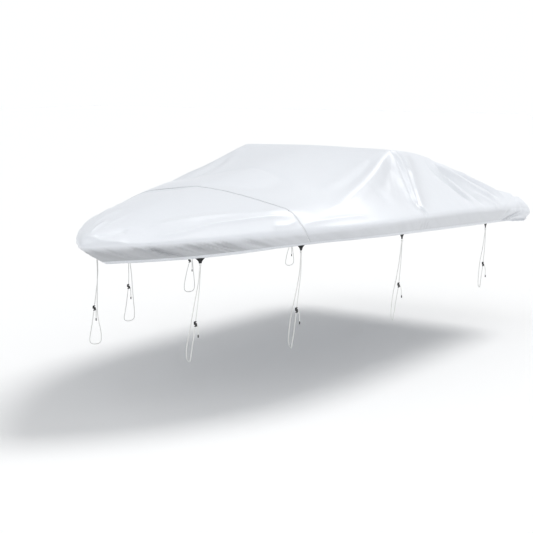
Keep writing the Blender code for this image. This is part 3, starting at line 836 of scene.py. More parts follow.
def fold_profile(fold: Fold, station: np.ndarray, reach: np.ndarray) -> np.ndarray:
    """One fold's height at points of the plan.

    Args:
        fold: the fold.
        station: the points' stations.
        reach: the points' y, turned to the side that the fold lies on.

    Returns:
        The heights.
    """
    path = np.array(fold.path)
    spans = np.diff(path, axis=0)
    lengths = np.hypot(spans[:, 0], spans[:, 1])
    starts = np.concatenate([[0.0], np.cumsum(lengths)])
    nearest = np.full(station.shape, np.inf)
    along = np.zeros(station.shape)
    right = np.zeros(station.shape, bool)
    last = len(spans) - 1
    for i, (start, span, length) in enumerate(zip(path, spans, lengths)):
        t = ((station - start[0]) * span[0] + (reach - start[1]) * span[1]) / length ** 2
        clipped = np.clip(t, -1.0 if i == 0 else 0.0, 2.0 if i == last else 1.0)
        off = np.hypot(station - start[0] - clipped * span[0], reach - start[1] - clipped * span[1])
        closer = off < nearest
        cross = span[0] * (reach - start[1]) - span[1] * (station - start[0])
        right = np.where(closer, cross < 0, right)
        nearest = np.where(closer, off, nearest)
        along = np.where(closer, (starts[i] + clipped * length) / starts[-1], along)
    inside = np.minimum(along + fold.overrun, 1 + fold.overrun - along) / fold.grow
    ends = soft_step(inside, 0.0, 1.0)
    along = np.clip(along, 0.0, 1.0)
    width = fold.widths[0] + (fold.widths[1] - fold.widths[0]) * along
    width = np.where(right, width * fold.lean, width)
    width = width * (fold.waist + (1 - fold.waist) * np.sin(np.pi * along) ** WAIST_POWER)
    blunt = FOLD_BLUNT * width
    return fold.height * ends * np.exp((blunt - np.hypot(nearest, blunt)) / (FOLD_SPREAD * width))


class CoverForm:
    """The draped cloth as a surface: from a station and a y to a point in the part's frame."""

    def __init__(self, sizes: CoverSizes, sections: Sequence[Section],
                 hem: Sequence[HemMark], folds: Sequence[Fold]) -> None:
        """Keeps the tables as arrays.

        Args:
            sizes: the driving dimensions.
            sections: the cross-sections, from the bow.
            hem: the hem's marks, from the bow.
            folds: the pulled folds.
        """
        self.sizes = sizes
        self.folds = folds
        self.table = np.array([(s.station, s.inset, s.rise, s.crown, s.straight)
                               for s in sections])
        self.hem_table = np.array([(m.station, m.half, m.drop) for m in hem])

    def section(self, station: np.ndarray) -> list[np.ndarray]:
        """Inset, rise, crown and straightness, with breaks at the windscreen's corners.

        Args:
            station: the stations.

        Returns:
            The four values at each station.
        """
        sizes = self.sizes
        marks = (-1.0, sizes.windscreen, sizes.wing_end, sizes.length + 1.0)
        values = [np.zeros_like(station) for _ in range(4)]
        for low, high in zip(marks, marks[1:]):
            rows = self.table[(self.table[:, 0] >= low) & (self.table[:, 0] <= high)]
            here = (station > low) & (station <= high)
            for column, value in enumerate(values, 1):
                value[here] = monotone(rows[:, 0], rows[:, column], station[here])
        return values

    def gunwale(self, station: np.ndarray) -> np.ndarray:
        """Height of the gunwale at each station."""
        return np.polyval(self.sizes.sheer, station / self.sizes.length)

    def half_breadth(self, station: np.ndarray) -> np.ndarray:
        """Half breadth of the plan at the gunwale.

        Args:
            station: the stations.

        Returns:
            The half breadths.
        """
        sizes = self.sizes
        t = np.clip(station / sizes.bow_run, 0.0, 1.0)
        ahead = sizes.half_beam * (1 - (1 - t) ** sizes.bow_fullness) ** (1 / sizes.bow_roundness)
        u = (station - sizes.bow_run) / (sizes.length - sizes.bow_run)
        wide = sizes.half_beam + (sizes.transom_half - sizes.half_beam) * u ** 2
        past = np.clip(station - (sizes.length - sizes.stern_corner), 0.0, sizes.stern_corner)
        behind = wide - (sizes.stern_corner - np.sqrt(sizes.stern_corner ** 2 - past ** 2))
        return np.where(station < sizes.bow_run, ahead, behind)

    def shoulder(self, station: np.ndarray) -> tuple[np.ndarray, np.ndarray]:
        """The shoulder's distance from the middle, and from the gunwale."""
        half = self.half_breadth(station)
        inset = np.minimum(self.section(station)[0], self.sizes.inset_limit * half)
        return half - inset, inset

    def height(self, station: np.ndarray, y: np.ndarray) -> np.ndarray:
        """Height of the smooth top over the datum.

        Args:
            station: the stations.
            y: the distances from the middle, with their sign.

        Returns:
            The heights.
        """
        sizes = self.sizes
        _, rise, crown, straight = self.section(station)
        shoulder, inset = self.shoulder(station)
        half = shoulder + inset
        across = np.minimum(np.abs(y), half)
        roof = rise + (crown - rise) * (1 - (across / shoulder) ** sizes.roof_power)
        t = np.clip((across - shoulder) / inset, -1.0, 1.0)
        flank = rise * (1 - straight * t - (1 - straight) * t * np.abs(t))
        lift = np.where(across <= shoulder, roof, flank)
        # The roof and the flank meet in a rounded shoulder, rounder ahead of the windscreen.
        blend = (sizes.shoulder_blend + sizes.shoulder_blend_ahead
                 * soft_fade(station, *sizes.shoulder_blend_span))
        low, high = sizes.shoulder_blend_straight
        blend *= np.clip((straight - low) / (high - low), 0.0, 1.0)
        gap = np.clip(1 - np.abs(roof - flank) / np.maximum(blend, 1e-6), 0.0, 1.0)
        lift -= gap * gap * blend / 4
        # The starboard foredeck has no shoulder: it is rounded from the middle to the gunwale.
        power = sizes.soft_power + (sizes.soft_power_aft - sizes.soft_power) * soft_step(
            station, *sizes.soft_aft_span)
        power += (sizes.soft_power_bow - sizes.soft_power) * soft_fade(
            station, *sizes.soft_bow_span)
        rounded = crown * (1 - (across / half) ** power)
        soft = (sizes.shoulder_from - station) / (sizes.shoulder_from - sizes.soft_until)
        lift += np.where(y > 0, (rounded - lift) * np.clip(soft, 0.0, 1.0), 0.0)
        ahead = np.clip(sizes.bow_roll - station, 0.0, None) / sizes.bow_roll
        behind = np.clip(station - (sizes.length - sizes.stern_roll), 0.0, None)
        over = np.maximum(ahead, behind / sizes.stern_roll)
        return self.gunwale(station) + np.sqrt(np.clip(1 - over ** 2, 0.0, 1.0)) * lift

    def edge_reach(self, station: np.ndarray) -> np.ndarray:
        """How far the rounding of the gunwale reaches inwards: softer at the stern's corners.

        Args:
            station: the stations.

        Returns:
            The reach at each station.
        """
        sizes = self.sizes
        aft = soft_step(station, *sizes.edge_round_span)
        reach = sizes.edge_round + (sizes.edge_round_aft - sizes.edge_round) * aft
        return np.minimum(reach, sizes.edge_round_limit * self.half_breadth(station))

    def edge_fade(self, station: np.ndarray, y: np.ndarray) -> np.ndarray:
        """How much of the folds is left: all over the top, and none at the gunwale."""
        return np.clip((self.half_breadth(station) - np.abs(y)) / FOLD_MARGIN, 0.0, 1.0)

    def fold_lift(self, station: np.ndarray, y: np.ndarray) -> np.ndarray:
        """Height of the folds over the smooth top.

        Args:
            station: the stations.
            y: the distances from the middle, with their sign.

        Returns:
            The heights.
        """
        total = np.zeros_like(station)
        for fold in self.folds:
            if not fold.mirrored:
                total += fold_profile(fold, station, y)
                continue
            for side, share in ((Side.PORT, 1.0), (Side.STARBOARD, STARBOARD_FOLDS)):
                total += share * fold_profile(fold, station, y * side.value)
        return total * self.edge_fade(station, y)

    def wrinkles(self, station: np.ndarray, y: np.ndarray) -> np.ndarray:
        """Small irregular wrinkles: the fans at the corners, and creases all over.

        Args:
            station: the stations.
            y: the distances from the middle, with their sign.

        Returns:
            Their height over the smooth top.
        """
        total = np.zeros(station.shape)
        for fan in WRINKLE_FANS:
            aft, out = station - fan.station, np.abs(y) - fan.y
            distance = np.hypot(aft, out)
            grow = np.minimum(1.0, distance / FAN_START) * bell(distance, 0.0, fan.reach)
            grow = np.where(distance > FAN_END * fan.reach, 0.0, grow)
            total += fan.height * grow * noise_at(np.arctan2(out, aft) * fan.turns,
                                                  distance * FAN_DRIFT,
                                                  fan.station + np.copysign(FAN_LAYER, y))
        for creases in CREASES:
            total += creases.height * noise_at(station * creases.along, y * creases.across,
                                               creases.layer)
        return total * self.edge_fade(station, y)

    def seam_relief(self, station: np.ndarray, y: np.ndarray) -> np.ndarray:
        """Height of the felled seam's band, and of the puckers on both of its sides.

        Args:
            station: the stations.
            y: the distances from the middle, with their sign.

        Returns:
            The heights.
        """
        past = station - self.sizes.seam
        band = soft_step(past, *SEAM.band_starts) - soft_step(past, *SEAM.band_ends)
        rows = sum(bell(past, line, SEAM.line_width) for line in SEAM.lines)
        along, across = SEAM.pucker_turns
        strong = SEAM.pucker + SEAM.port_pucker * soft_step(-y, *SEAM.port_span)
        pucker = bell(past, 0.0, SEAM.pucker_reach) * noise_at(y * across, station * along,
                                                               SEAM.layer)
        return SEAM.rise * band - SEAM.line_depth * rows + strong * pucker

    def in_frame(self, station: np.ndarray | float, y: np.ndarray | float,
                 height: np.ndarray | float) -> np.ndarray:
        """Points of the part's frame, as rows of an array.

        Args:
            station: the stations.
            y: the distances from the middle, with their sign.
            height: the heights over the datum.

        Returns:
            The points.
        """
        sizes = self.sizes
        return np.stack([np.asarray(station) - sizes.windscreen, np.asarray(y),
                         np.asarray(height) - sizes.top_of_screen + sizes.sheet], axis=-1)

    def top_painted_shade(self, station: np.ndarray, y: np.ndarray) -> np.ndarray:
        """Painted shade of the top: along the seam, over the rounded gunwale aft, and beside the fan's
        folds.

        Args:
            station: the stations.
            y: the distances from the middle, with their sign.

        Returns:
            The painted shade, from 0 to 1.
        """
        half = self.half_breadth(station)
        reach = self.edge_reach(station)
        aft = SHADE_PAINTING.aft * soft_step(station, *SHADE_PAINTING.aft_span)
        edge = SHADE_PAINTING.skirt * aft * soft_step((reach - half + np.abs(y)) / reach, 0.0, 1.0)
        seam = SHADE_PAINTING.seam_top * bell(station - self.sizes.seam, SHADE_PAINTING.seam_middle,
                                       SHADE_PAINTING.seam_reach)
        fan_shade = sum(fold_profile(area, station, np.abs(y)) for area in SHADED)
        return np.maximum(np.maximum(edge, seam), np.minimum(fan_shade, SHADE_PAINTING.fan_shade_limit))

    def skirt_painted_shade(self, station: np.ndarray, y: np.ndarray, row: SkirtRow) -> np.ndarray:
        """Painted shade of the skirt: lower down, aft, at the bow, the seam, above the hem and in
        hollows.

        Args:
            station: the edge points' stations.
            y: the edge points' y.
            row: the skirt's row.

        Returns:
            The painted shade, from 0 to 1.
        """
        # The rolled hem gets little painted shade, so it reads as a painted light line.
        if row.proud:
            return np.full(station.shape, SHADE_PAINTING.hem)
        seam = SHADE_PAINTING.seam_skirt * bell(station - self.sizes.seam, SHADE_PAINTING.seam_middle,
                                         SHADE_PAINTING.seam_reach)
        stitches = SHADE_PAINTING.stitches * bell(row.down, HEM_FROM, SHADE_PAINTING.stitches_reach)
        aft = SHADE_PAINTING.aft * soft_step(station, *SHADE_PAINTING.aft_span)
        bow = SHADE_PAINTING.bow * bell(station, SHADE_PAINTING.bow_middle, SHADE_PAINTING.bow_reach)
        stern = 1.0 - SHADE_PAINTING.stern_less * soft_step(station, *SHADE_PAINTING.stern_span)
        side = SHADE_PAINTING.skirt * stern * np.minimum(1.0, aft + SHADE_PAINTING.skirt_growth * row.down)
        hollow = -self.ripples(station, y, np.full(station.shape, row.down))
        return (side + seam + stitches + bow * min(1.0, SHADE_PAINTING.bow_growth * row.down)
                + np.clip(hollow / SHADE_PAINTING.hollow_depth, 0.0, SHADE_PAINTING.hollow_limit))

    def rolled_row(self, t: float) -> SkirtRow:
        """One row of the rolled hem.

        Args:
            t: share of the hem's depth.

        Returns:
            The row.
        """
        sizes = self.sizes
        start, length = HEM_ROLL
        swell = math.sin(math.pi * (start + t * length))
        flat = sizes.sheet * sizes.hem_layers
        return SkirtRow(down=HEM_FROM + (1 - HEM_FROM) * t,
                        proud=HEM_STAND + (1 - HEM_STAND) * swell,
                        thick=flat + (sizes.hem_roll - flat) * swell)

    def sharp_top(self, station: np.ndarray, y: np.ndarray) -> np.ndarray:
        """Points of the top's outer face, with its folds, before its edge is rounded.

        Args:
            station: the stations.
            y: the distances from the middle, with their sign.

        Returns:
            The points, in the part's frame.
        """
        back = np.minimum(station, self.sizes.length - SLOPE_STEP)
        slope_x = (self.height(back + SLOPE_STEP, y) - self.height(back, y)) / SLOPE_STEP
        inner = y - np.where(y < 0, -SLOPE_STEP, SLOPE_STEP)
        level = self.height(station, y)
        slope_y = (level - self.height(station, inner)) / (y - inner)
        normal = np.stack([-slope_x, -slope_y, np.ones_like(station)], axis=-1)
        normal /= np.linalg.norm(normal, axis=-1, keepdims=True)
        lift = self.fold_lift(station, y) + self.wrinkles(station, y)
        lift += self.seam_relief(station, y)
        return self.in_frame(station, y, level) + normal * lift[..., None]

    def edge_bend(self, station: np.ndarray, y: np.ndarray, t: np.ndarray) -> np.ndarray:
        """Points of the rounded gunwale.

        Args:
            station: the stations.
            y: points on the side that is wanted.
            t: 0 where the rounding leaves the top, and 1 where it meets the skirt.

        Returns:
            The points, in the part's frame.
        """
        reach = self.edge_reach(station)
        side = np.sign(y)
        edge_y = side * self.half_breadth(station)
        start = self.sharp_top(station, side * (self.half_breadth(station) - reach))
        corner = self.in_frame(station, edge_y, self.gunwale(station))
        pull = self.ripples(station, edge_y, np.zeros_like(station))
        corner[:, :2] += self.outward(station, edge_y) * pull[:, None]
        end = self.sharp_skirt(station, edge_y, reach / self.skirt_depth(station))
        t = t[:, None]
        return start * (1 - t) ** 2 + corner * 2 * t * (1 - t) + end * t ** 2

    def top(self, station: np.ndarray, y: np.ndarray) -> np.ndarray:
        """Points of the outer face of the top.

        Args:
            station: the stations.
            y: the distances from the middle, with their sign.

        Returns:
            The points, in the part's frame.
        """
        points = self.sharp_top(station, y)
        reach = self.edge_reach(station)
        away = self.half_breadth(station) - np.abs(y)
        near = away < reach
        t = 0.5 * (1 - away[near] / reach[near])
        points[near] = self.edge_bend(station[near], y[near], t)
        return points

    def hem_at(self, station: np.ndarray | float) -> tuple[np.ndarray, np.ndarray]:
        """Half breadth and height of the hem.

        Args:
            station: the hem's stations.

        Returns:
            The half breadths and the heights over the datum.
        """
        table = self.hem_table
        station = np.asarray(station, float)
        half = monotone(table[:, 0], table[:, 1], station)
        return half, self.gunwale(station) - monotone(table[:, 0], table[:, 2], station)

    def raked(self, station: np.ndarray) -> np.ndarray:
        """The station of the hem under points of the edge: the bow's skirt rakes aft."""
        sizes = self.sizes
        rake = sizes.bow_rake * np.clip(1 - (station / sizes.rake_end) ** 2, 0.0, None)
        return np.minimum(station + rake, sizes.length - sizes.hem_proud)

    def skirt_depth(self, station: np.ndarray) -> np.ndarray:
        """How far the hem lies under the gunwale, at the edge's stations."""
        return self.gunwale(station) - self.hem_at(self.raked(station))[1]

    def sharp_skirt(self, station: np.ndarray, y: np.ndarray, down: np.ndarray | float,
                    proud: float = 0.0) -> np.ndarray:
        """Points of the skirt's outer face, under edge points of the top.

        Args:
            station: the edge points' stations.
            y: the edge points' y.
            down: share of the skirt's depth.
            proud: how far the hem's roll stands out, as a share of its full swell.

        Returns:
            The points, in the part's frame.
        """
        sizes = self.sizes
        down = np.broadcast_to(down, station.shape)
        aft = self.raked(station)
        half, level = self.hem_at(aft)
        edge_half = self.half_breadth(station)
        start = sizes.length - sizes.stern_corner
        corner = np.where(station > start,
                          self.half_breadth(np.full_like(station, start)) - edge_half, 0.0)
        hem = np.stack([aft, y / edge_half * (half - corner), level], axis=-1)
        edge = np.stack([station, y, self.gunwale(station)], axis=-1)
        tuck = down ** sizes.skirt_tuck
        point = edge + (hem - edge) * np.stack([tuck, tuck, down], axis=-1)
        out = sizes.hem_proud * proud + self.ripples(station, y, down)
        point[:, :2] += self.outward(station, y) * out[:, None]
        return self.in_frame(point[:, 0], point[:, 1], point[:, 2])

    def skirt(self, station: np.ndarray, y: np.ndarray, row: SkirtRow) -> np.ndarray:
        """Points of a row of the skirt, with its rounded upper edge.

        Args:
            station: the edge points' stations.
            y: the edge points' y.
            row: the skirt's row.

        Returns:
            The points, in the part's frame.
        """
        points = self.sharp_skirt(station, y, row.down, row.proud)
        t = 0.5 + 0.5 * row.down * self.skirt_depth(station) / self.edge_reach(station)
        near = (t < 1) & (self.half_breadth(station) - np.abs(y) < EDGE_TOUCH)
        if near.any():
            points[near] = self.edge_bend(station[near], y[near], t[near])
        return points

    def outward(self, station: np.ndarray, y: np.ndarray) -> np.ndarray:
        """The way out of the cover, seen from above, at points of the top's edge.

        Args:
            station: the edge points' stations.
            y: the edge points' y.

        Returns:
            Unit vectors of two numbers each.
        """
        sizes = self.sizes
        low = np.maximum(sizes.bow_start, station - EDGE_STEP)
        high = np.minimum(sizes.length, station + EDGE_STEP)
        slope = (self.half_breadth(high) - self.half_breadth(low)) / (high - low)
        sideways = np.stack([-slope, np.where(y < 0, -1.0, 1.0)], axis=-1)
        sideways /= np.linalg.norm(sideways, axis=-1, keepdims=True)
        inside = np.abs(y) < self.half_breadth(station) - EDGE_TOUCH
        ends = np.stack([np.where(station < sizes.seam, -1.0, 1.0), np.zeros_like(y)], axis=-1)
        return np.where(inside[:, None], ends, sideways)

    def ripples(self, station: np.ndarray, y: np.ndarray, down: np.ndarray) -> np.ndarray:
        """Slanted ripples of the skirt: strong at the bow, faint along the side.

        Args:
            station: the edge points' stations.
            y: the edge points' y.
            down: share of the skirt's depth.

        Returns:
            How far the cloth stands out.
        """
        size = RIPPLES
        swell = np.sin(math.pi * np.minimum(1.0, down / HEM_FROM) * size.swell)
        layer = np.copysign(size.layer, y)
        along = station * size.diagonal + np.abs(y) * size.diagonal - size.slant * down

        def drawn(place: np.ndarray, turns: Pair, side: np.ndarray) -> np.ndarray:
            """Noise that turns so fast along a place and down the skirt."""
            return noise_at(place * turns[0], down * turns[1], side)

        ridged = drawn(along, size.broad_turns, layer)
        ridged = ridged + size.fine_share * drawn(along, size.fine_turns, 2 * layer)
        bow = bell(station, size.bow_middle, size.bow_reach)
        out = (size.side + size.bow * bow) * swell * ridged
        turns, lean = size.gather_turns
        out += (size.gather * bell(station, size.gather_middle, size.gather_reach) * swell
                * noise_at(station * turns - down * lean, down * lean, layer))
        hold = size.stern_hold + (1 - size.stern_hold) * swell
        fan = (station - size.stern_span[0]) / (size.stern_centre - down)
        out += (size.stern * soft_step(station, *size.stern_span) * hold
                * drawn(fan, size.stern_turns, layer))
        return out + size.flare * hold * soft_step(station, *size.flare_span)


# --- Pieces -------------------------------------------------------------------------------------

SMOOTH_ANGLE = 50.0        # edges that turn by more degrees than this stay sharp


def new_object(name: str, bm: bmesh.types.BMesh, material: bpy.types.Material,
               smooth: bool = True) -> bpy.types.Object:
    """Makes a named object of a bmesh, at the origin, and frees the bmesh.

    Args:
        name: the piece's name.
        bm: the mesh.
        material: its material.
        smooth: whether its faces are shaded smooth.

    Returns:
        The object.
    """
    mesh = bpy.data.meshes.new(name)
    bm.to_mesh(mesh)
    bm.free()
    mesh.materials.append(material)
    made = bpy.data.objects.new(name, mesh)
    bpy.context.scene.collection.objects.link(made)
    if smooth:
        mesh.shade_smooth()
        mesh.set_sharp_from_angle(angle=math.radians(SMOOTH_ANGLE))
    LOG.info("%s has %d faces", name, len(mesh.polygons))
    return made


def made_of(kind: type, geometry: Iterable[object]) -> list:
    """The vertices or the edges among what an operator has made."""
    return [thing for thing in geometry if isinstance(thing, kind)]


def soften(piece: bpy.types.Object, width: float, segments: int) -> None:
    """Rounds a piece's edges with a bevel modifier.

    Args:
        piece: the piece.
        width: the bevel's width.
        segments: the bevel's segments.
    """
    soft = piece.modifiers.new("soft_edges", "BEVEL")
    soft.width = width
    soft.segments = segments


@dataclass(frozen=True)
class PanelPlan:
    """One sewn panel's mesh: where its rows lie, and on which row its seam is."""

    node: str
    runs: tuple[tuple[float, float, int], ...]
    roof_steps: int
    flank_steps: int
    seam_first: bool
    flat: Pair
    area: float


BOW_PANEL = PanelPlan(
    node="panel_bow",
    runs=((0.004, 0.10, 14), (0.10, 0.80, 56), (0.80, 1.20, 28), (1.20, 1.24, 8)),
    roof_steps=60, flank_steps=34, seam_first=False, flat=(2.15, 1.52), area=2.14)
MAIN_PANEL = PanelPlan(
    node="panel_main",
    runs=((1.24, 1.242, 2), (1.242, 1.256, 8), (1.256, 1.276, 4), (1.276, 2.42, 46),
          (2.42, 2.755, 40), (2.755, 3.14, 46), (3.14, 4.10, 78), (4.10, 4.64, 36),
          (4.64, 4.79, 12)),
    roof_steps=44, flank_steps=38, seam_first=True, flat=(3.05, 3.90), area=10.24)

LAYERS = ("station", "across", "thickness", "painted_shade")  # what each vertex of a panel carries; the last is its painted shade


@dataclass(frozen=True)
class ClothMaker:
    """Builds the two sewn panels, each with its skirt and its rolled hem."""

    form: CoverForm
    materials: Materials
    edge_steps: int = 7        # columns of a panel that round its edge
    on_seam: float = 1e-6      # a vertex this close to the seam is on it

    def skirt_rows(self) -> list[SkirtRow]:
        """The skirt's rows: the plain cloth, then the turned and rolled hem."""
        plain = [SkirtRow(down, 0.0, self.form.sizes.sheet) for down in SKIRT_ROWS]
        return plain + [self.form.rolled_row(i / HEM_ROWS) for i in range(HEM_ROWS + 1)]

    def columns(self, plan: PanelPlan, station: float) -> np.ndarray:
        """The y values across the top, with the shoulders on columns.

        Args:
            plan: the panel.
            station: the row's station.

        Returns:
            The values, from starboard to port.
        """
        at = np.array([station])
        shoulder, inset = (float(v[0]) for v in self.form.shoulder(at))
        half = shoulder + inset
        round_from = half - float(self.form.edge_reach(at)[0])
        rim = np.linspace(half, round_from, self.edge_steps + 1)
        flank = np.linspace(round_from, shoulder, plan.flank_steps - self.edge_steps + 1)
        roof = shoulder * np.linspace(1, -1, plan.roof_steps + 1)
        outer = np.concatenate([rim[:-1], flank[:-1]])
        return np.concatenate([outer, roof, -outer[::-1]])

    def lay_top(self, plan: PanelPlan, stations: Sequence[float]) -> bmesh.types.BMesh:
        """Lays a panel's top as a grid that carries its plan, its thickness and its painted shade.

        Args:
            plan: the panel.
            stations: the stations of its rows.

        Returns:
            The mesh.
        """
        across = 2 * plan.flank_steps + plan.roof_steps
        along = len(stations) - 1
        grid_y = np.array([self.columns(plan, station) for station in stations])
        grid_s = np.repeat(np.array(stations)[:, None], across + 1, axis=1)
        points = self.form.top(grid_s, grid_y)
        values = (grid_s, grid_y, np.full(grid_s.shape, self.form.sizes.sheet),
                  self.form.top_painted_shade(grid_s, grid_y))
        bm = bmesh.new()
        bmesh.ops.create_grid(bm, x_segments=along, y_segments=across, size=1.0)
        for name in LAYERS:
            bm.verts.layers.float.new(name)
        layers = [bm.verts.layers.float[name] for name in LAYERS]
        for vert in bm.verts:
            spot = round((vert.co.x + 1) / 2 * along), round((1 - vert.co.y) / 2 * across)
            vert.co = points[spot]
            for layer, value in zip(layers, values):
                vert[layer] = value[spot]
        return bm

    def hang_skirt(self, bm: bmesh.types.BMesh, seam: float) -> None:
        """Hangs the skirt's rows from the open edge of a panel's top, but not from its seam.

        Args:
            bm: the panel's mesh.
            seam: the station of the panel's seam.
        """
        plan_x, plan_y, thickness, painted_shade = (bm.verts.layers.float[name] for name in LAYERS)
        edges = [edge for edge in bm.edges if edge.is_boundary
                 and not all(abs(vert[plan_x] - seam) < self.on_seam for vert in edge.verts)]
        for row in self.skirt_rows():
            made = bmesh.ops.extrude_edge_only(bm, edges=edges)["geom"]
            edges = made_of(bmesh.types.BMEdge, made)
            verts = made_of(bmesh.types.BMVert, made)
            station = np.array([vert[plan_x] for vert in verts])
            y = np.array([vert[plan_y] for vert in verts])
            # The skirt's painted shade, darker where it faces down and out.
            shade_paint = self.form.skirt_painted_shade(station, y, row)
            for vert, place, shade_value in zip(verts, self.form.skirt(station, y, row), shade_paint):
                vert.co = place
                vert[thickness] = row.thick
                vert[painted_shade] = shade_value

    def thicken(self, panel: bpy.types.Object, weights: Sequence[float]) -> None:
        """Gives a panel its thickness inwards, with the backing's finish inside.

        Args:
            panel: the panel.
            weights: each vertex's thickness, as a share of the rolled hem's.
        """
        group = panel.vertex_groups.new(name="thickness")
        for index, weight in enumerate(weights):
            group.add([index], weight, "REPLACE")
        solid = panel.modifiers.new("thickness", "SOLIDIFY")
        solid.thickness = self.form.sizes.hem_roll
        solid.offset = -1.0
        solid.vertex_group = group.name
        panel.data.materials.append(self.materials.get(BACKING))
        solid.material_offset = 1

    def panel(self, plan: PanelPlan) -> bpy.types.Object:
        """Builds one panel.

        Args:
            plan: its rows and seam.

        Returns:
            The panel.
        """
        sizes = self.form.sizes
        stations = rows_of(plan.runs)
        seam_row, aft = (0, 1) if plan.seam_first else (-1, -1)
        stations[seam_row] += aft * sizes.seam_gap / 2
        bm = self.lay_top(plan, stations)
        self.hang_skirt(bm, stations[seam_row])
        bmesh.ops.recalc_face_normals(bm, faces=bm.faces)
        highest = max(bm.faces, key=lambda face: face.calc_center_median().z)
        if highest.normal.z < 0:
            bmesh.ops.reverse_faces(bm, faces=bm.faces)
        thickness = bm.verts.layers.float["thickness"]
        weights = [vert[thickness] / sizes.hem_roll for vert in bm.verts]
        panel = new_object(f"cloth_{plan.node}", bm, self.materials.get(CLOTH))
        self.thicken(panel, weights)
        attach(panel, "root")
        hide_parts(plan.node)
        return panel


@dataclass(frozen=True)
class SewnRow:
    """A row of stitches: points along it, and the way out of the cloth at each point."""

    points: np.ndarray
    outs: np.ndarray

    def lengths(self) -> np.ndarray:
        """The length along the row at each point."""
        steps = np.linalg.norm(np.diff(self.points, axis=0), axis=1)
        return np.concatenate([[0.0], np.cumsum(steps)])


@dataclass(frozen=True)
class Sewer:
    """Lays visible stitches on the cloth: short rounded threads in rows."""

    form: CoverForm
    materials: Materials
    pitch: float = 0.0092
    stitch: Point = (0.0031, 0.00055, 0.00042)  # half length, half width and half height
    stand: float = 0.0003      # how far a stitch's middle stands over the cloth
    top_points: int = 900
    skirt_points: int = 14
    hem_points: int = 700
    aside: float = 0.003       # a second line this far aft gives the seam's way out
    below: float = 1.2         # ways out point away from a line this far under the origin
    # Where the hem's stitches start and stop, from the two ends of each panel.
    hem_ends: tuple[Span, Span] = ((0.004, -0.004), (0.016, -0.001))

    def frames(self, row: SewnRow) -> Iterator[Matrix]:
        """Where each stitch of a row lies.

        Args:
            row: the row.

        Yields:
            A matrix from a stitch of its own to its place on the cloth.
        """
        lengths = row.lengths()

        def at(place: float, values: np.ndarray) -> Vector:
            """The row's points, or its ways out, at a length along it."""
            return Vector([np.interp(place, lengths, values[:, k]) for k in range(3)])

        for place in np.arange(self.pitch / 2, lengths[-1] - self.pitch / 2, self.pitch):
            start, end = (at(place + off, row.points) for off in (-self.stitch[0], self.stitch[0]))
            out = at(place, row.outs).normalized()
            ahead = (end - start).normalized()
            side = out.cross(ahead).normalized()
            frame = Matrix((ahead, side, ahead.cross(side))).transposed().to_4x4()
            frame.translation = (start + end) / 2 + out * self.stand
            yield frame

    def sew(self, name: str, rows: Iterable[SewnRow], finish: Finish) -> None:
        """Makes one piece of the stitches along some rows.

        Args:
            name: the piece's name.
            rows: the rows.
            finish: the thread's finish.
        """
        seed, bm = bmesh.new(), bmesh.new()
        bmesh.ops.create_uvsphere(seed, u_segments=6, v_segments=4, radius=1.0)
        bmesh.ops.scale(seed, vec=self.stitch, verts=seed.verts)
        stitch = bpy.data.meshes.new("stitch")
        for row in rows:
            for frame in self.frames(row):
                seed.to_mesh(stitch)
                stitch.transform(frame)
                bm.from_mesh(stitch)
        seed.free()
        bpy.data.meshes.remove(stitch)
        piece = new_object(name, bm, self.materials.get(finish))
        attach(piece, "root")

    def crossing(self, station: float) -> np.ndarray:
        """Points of a line that crosses the cover, from the starboard hem to the port one.

        Args:
            station: where it crosses the top.

        Returns:
            The points.
        """
        at = np.array([station])
        half = float(self.form.half_breadth(at)[0])
        rows = [SkirtRow(down, 0.0, 0.0)
                for down in np.linspace(SKIRT_ROWS[0], SKIRT_ROWS[-1], self.skirt_points)]
        starboard, port = ([self.form.skirt(at, np.array([y]), row) for row in rows]
                           for y in (half, -half))
        top = self.form.top(np.full(self.top_points, station),
                            np.linspace(half, -half, self.top_points))
        return np.concatenate([*starboard[::-1], top, *port])

    def seam_row(self, station: float) -> SewnRow:
        """A row that crosses the cover at a station.

        Args:
            station: where it crosses the top.

        Returns:
            The row.
        """
        points = self.crossing(station)
        aside = self.crossing(station + self.aside) - points
        outs = np.cross(aside, np.gradient(points, axis=0))
        away = points * (0.0, 1.0, 1.0) + (0.0, 0.0, self.below)
        outs *= np.sign(np.sum(outs * away, axis=1))[:, None]
        return SewnRow(points, outs / np.linalg.norm(outs, axis=1, keepdims=True))

    def hem_row(self, stations: np.ndarray, side: Side) -> SewnRow:
        """The row of the turned hem's stitches along one side.

        Args:
            stations: the stations of the row's points.
            side: the side.

        Returns:
            The row.
        """
        y = side.value * self.form.half_breadth(stations)
        outs = self.form.outward(stations, y)
        return SewnRow(self.form.skirt(stations, y, self.form.rolled_row(1 / HEM_ROWS)),
                       np.column_stack([outs, np.zeros(len(outs))]))

    def sew_all(self) -> None:
        """Sews the seam's two rows and the hem of both panels."""
        sizes = self.form.sizes
        self.sew("stitches_seam", [self.seam_row(sizes.seam + line) for line in SEAM.lines],
                 THREAD)
        # The points lie closer together at the bow, where the gunwale turns most.
        panels = (("bow", sizes.bow_start, sizes.seam, 2), ("main", sizes.seam, sizes.length, 1))
        for (panel, start, end, power), (after, before) in zip(panels, self.hem_ends):
            low, high = start + after, end + before
            stations = low + (high - low) * np.linspace(0.0, 1.0, self.hem_points) ** power
            self.sew(f"stitches_hem_{panel}", [self.hem_row(stations, side) for side in Side],
                     THREAD)


def rows_of(runs: Iterable[tuple[float, float, int]]) -> list[float]:
    """Stations of a mesh's rows.

    Args:
        runs: the first and last station and the number of steps of each run.

    Returns:
        The stations.
    """
    runs = list(runs)
    stations = [runs[0][0]]
    for start, end, steps in runs:
        stations += [start + (end - start) * (i + 1) / steps for i in range(steps)]
    return stations


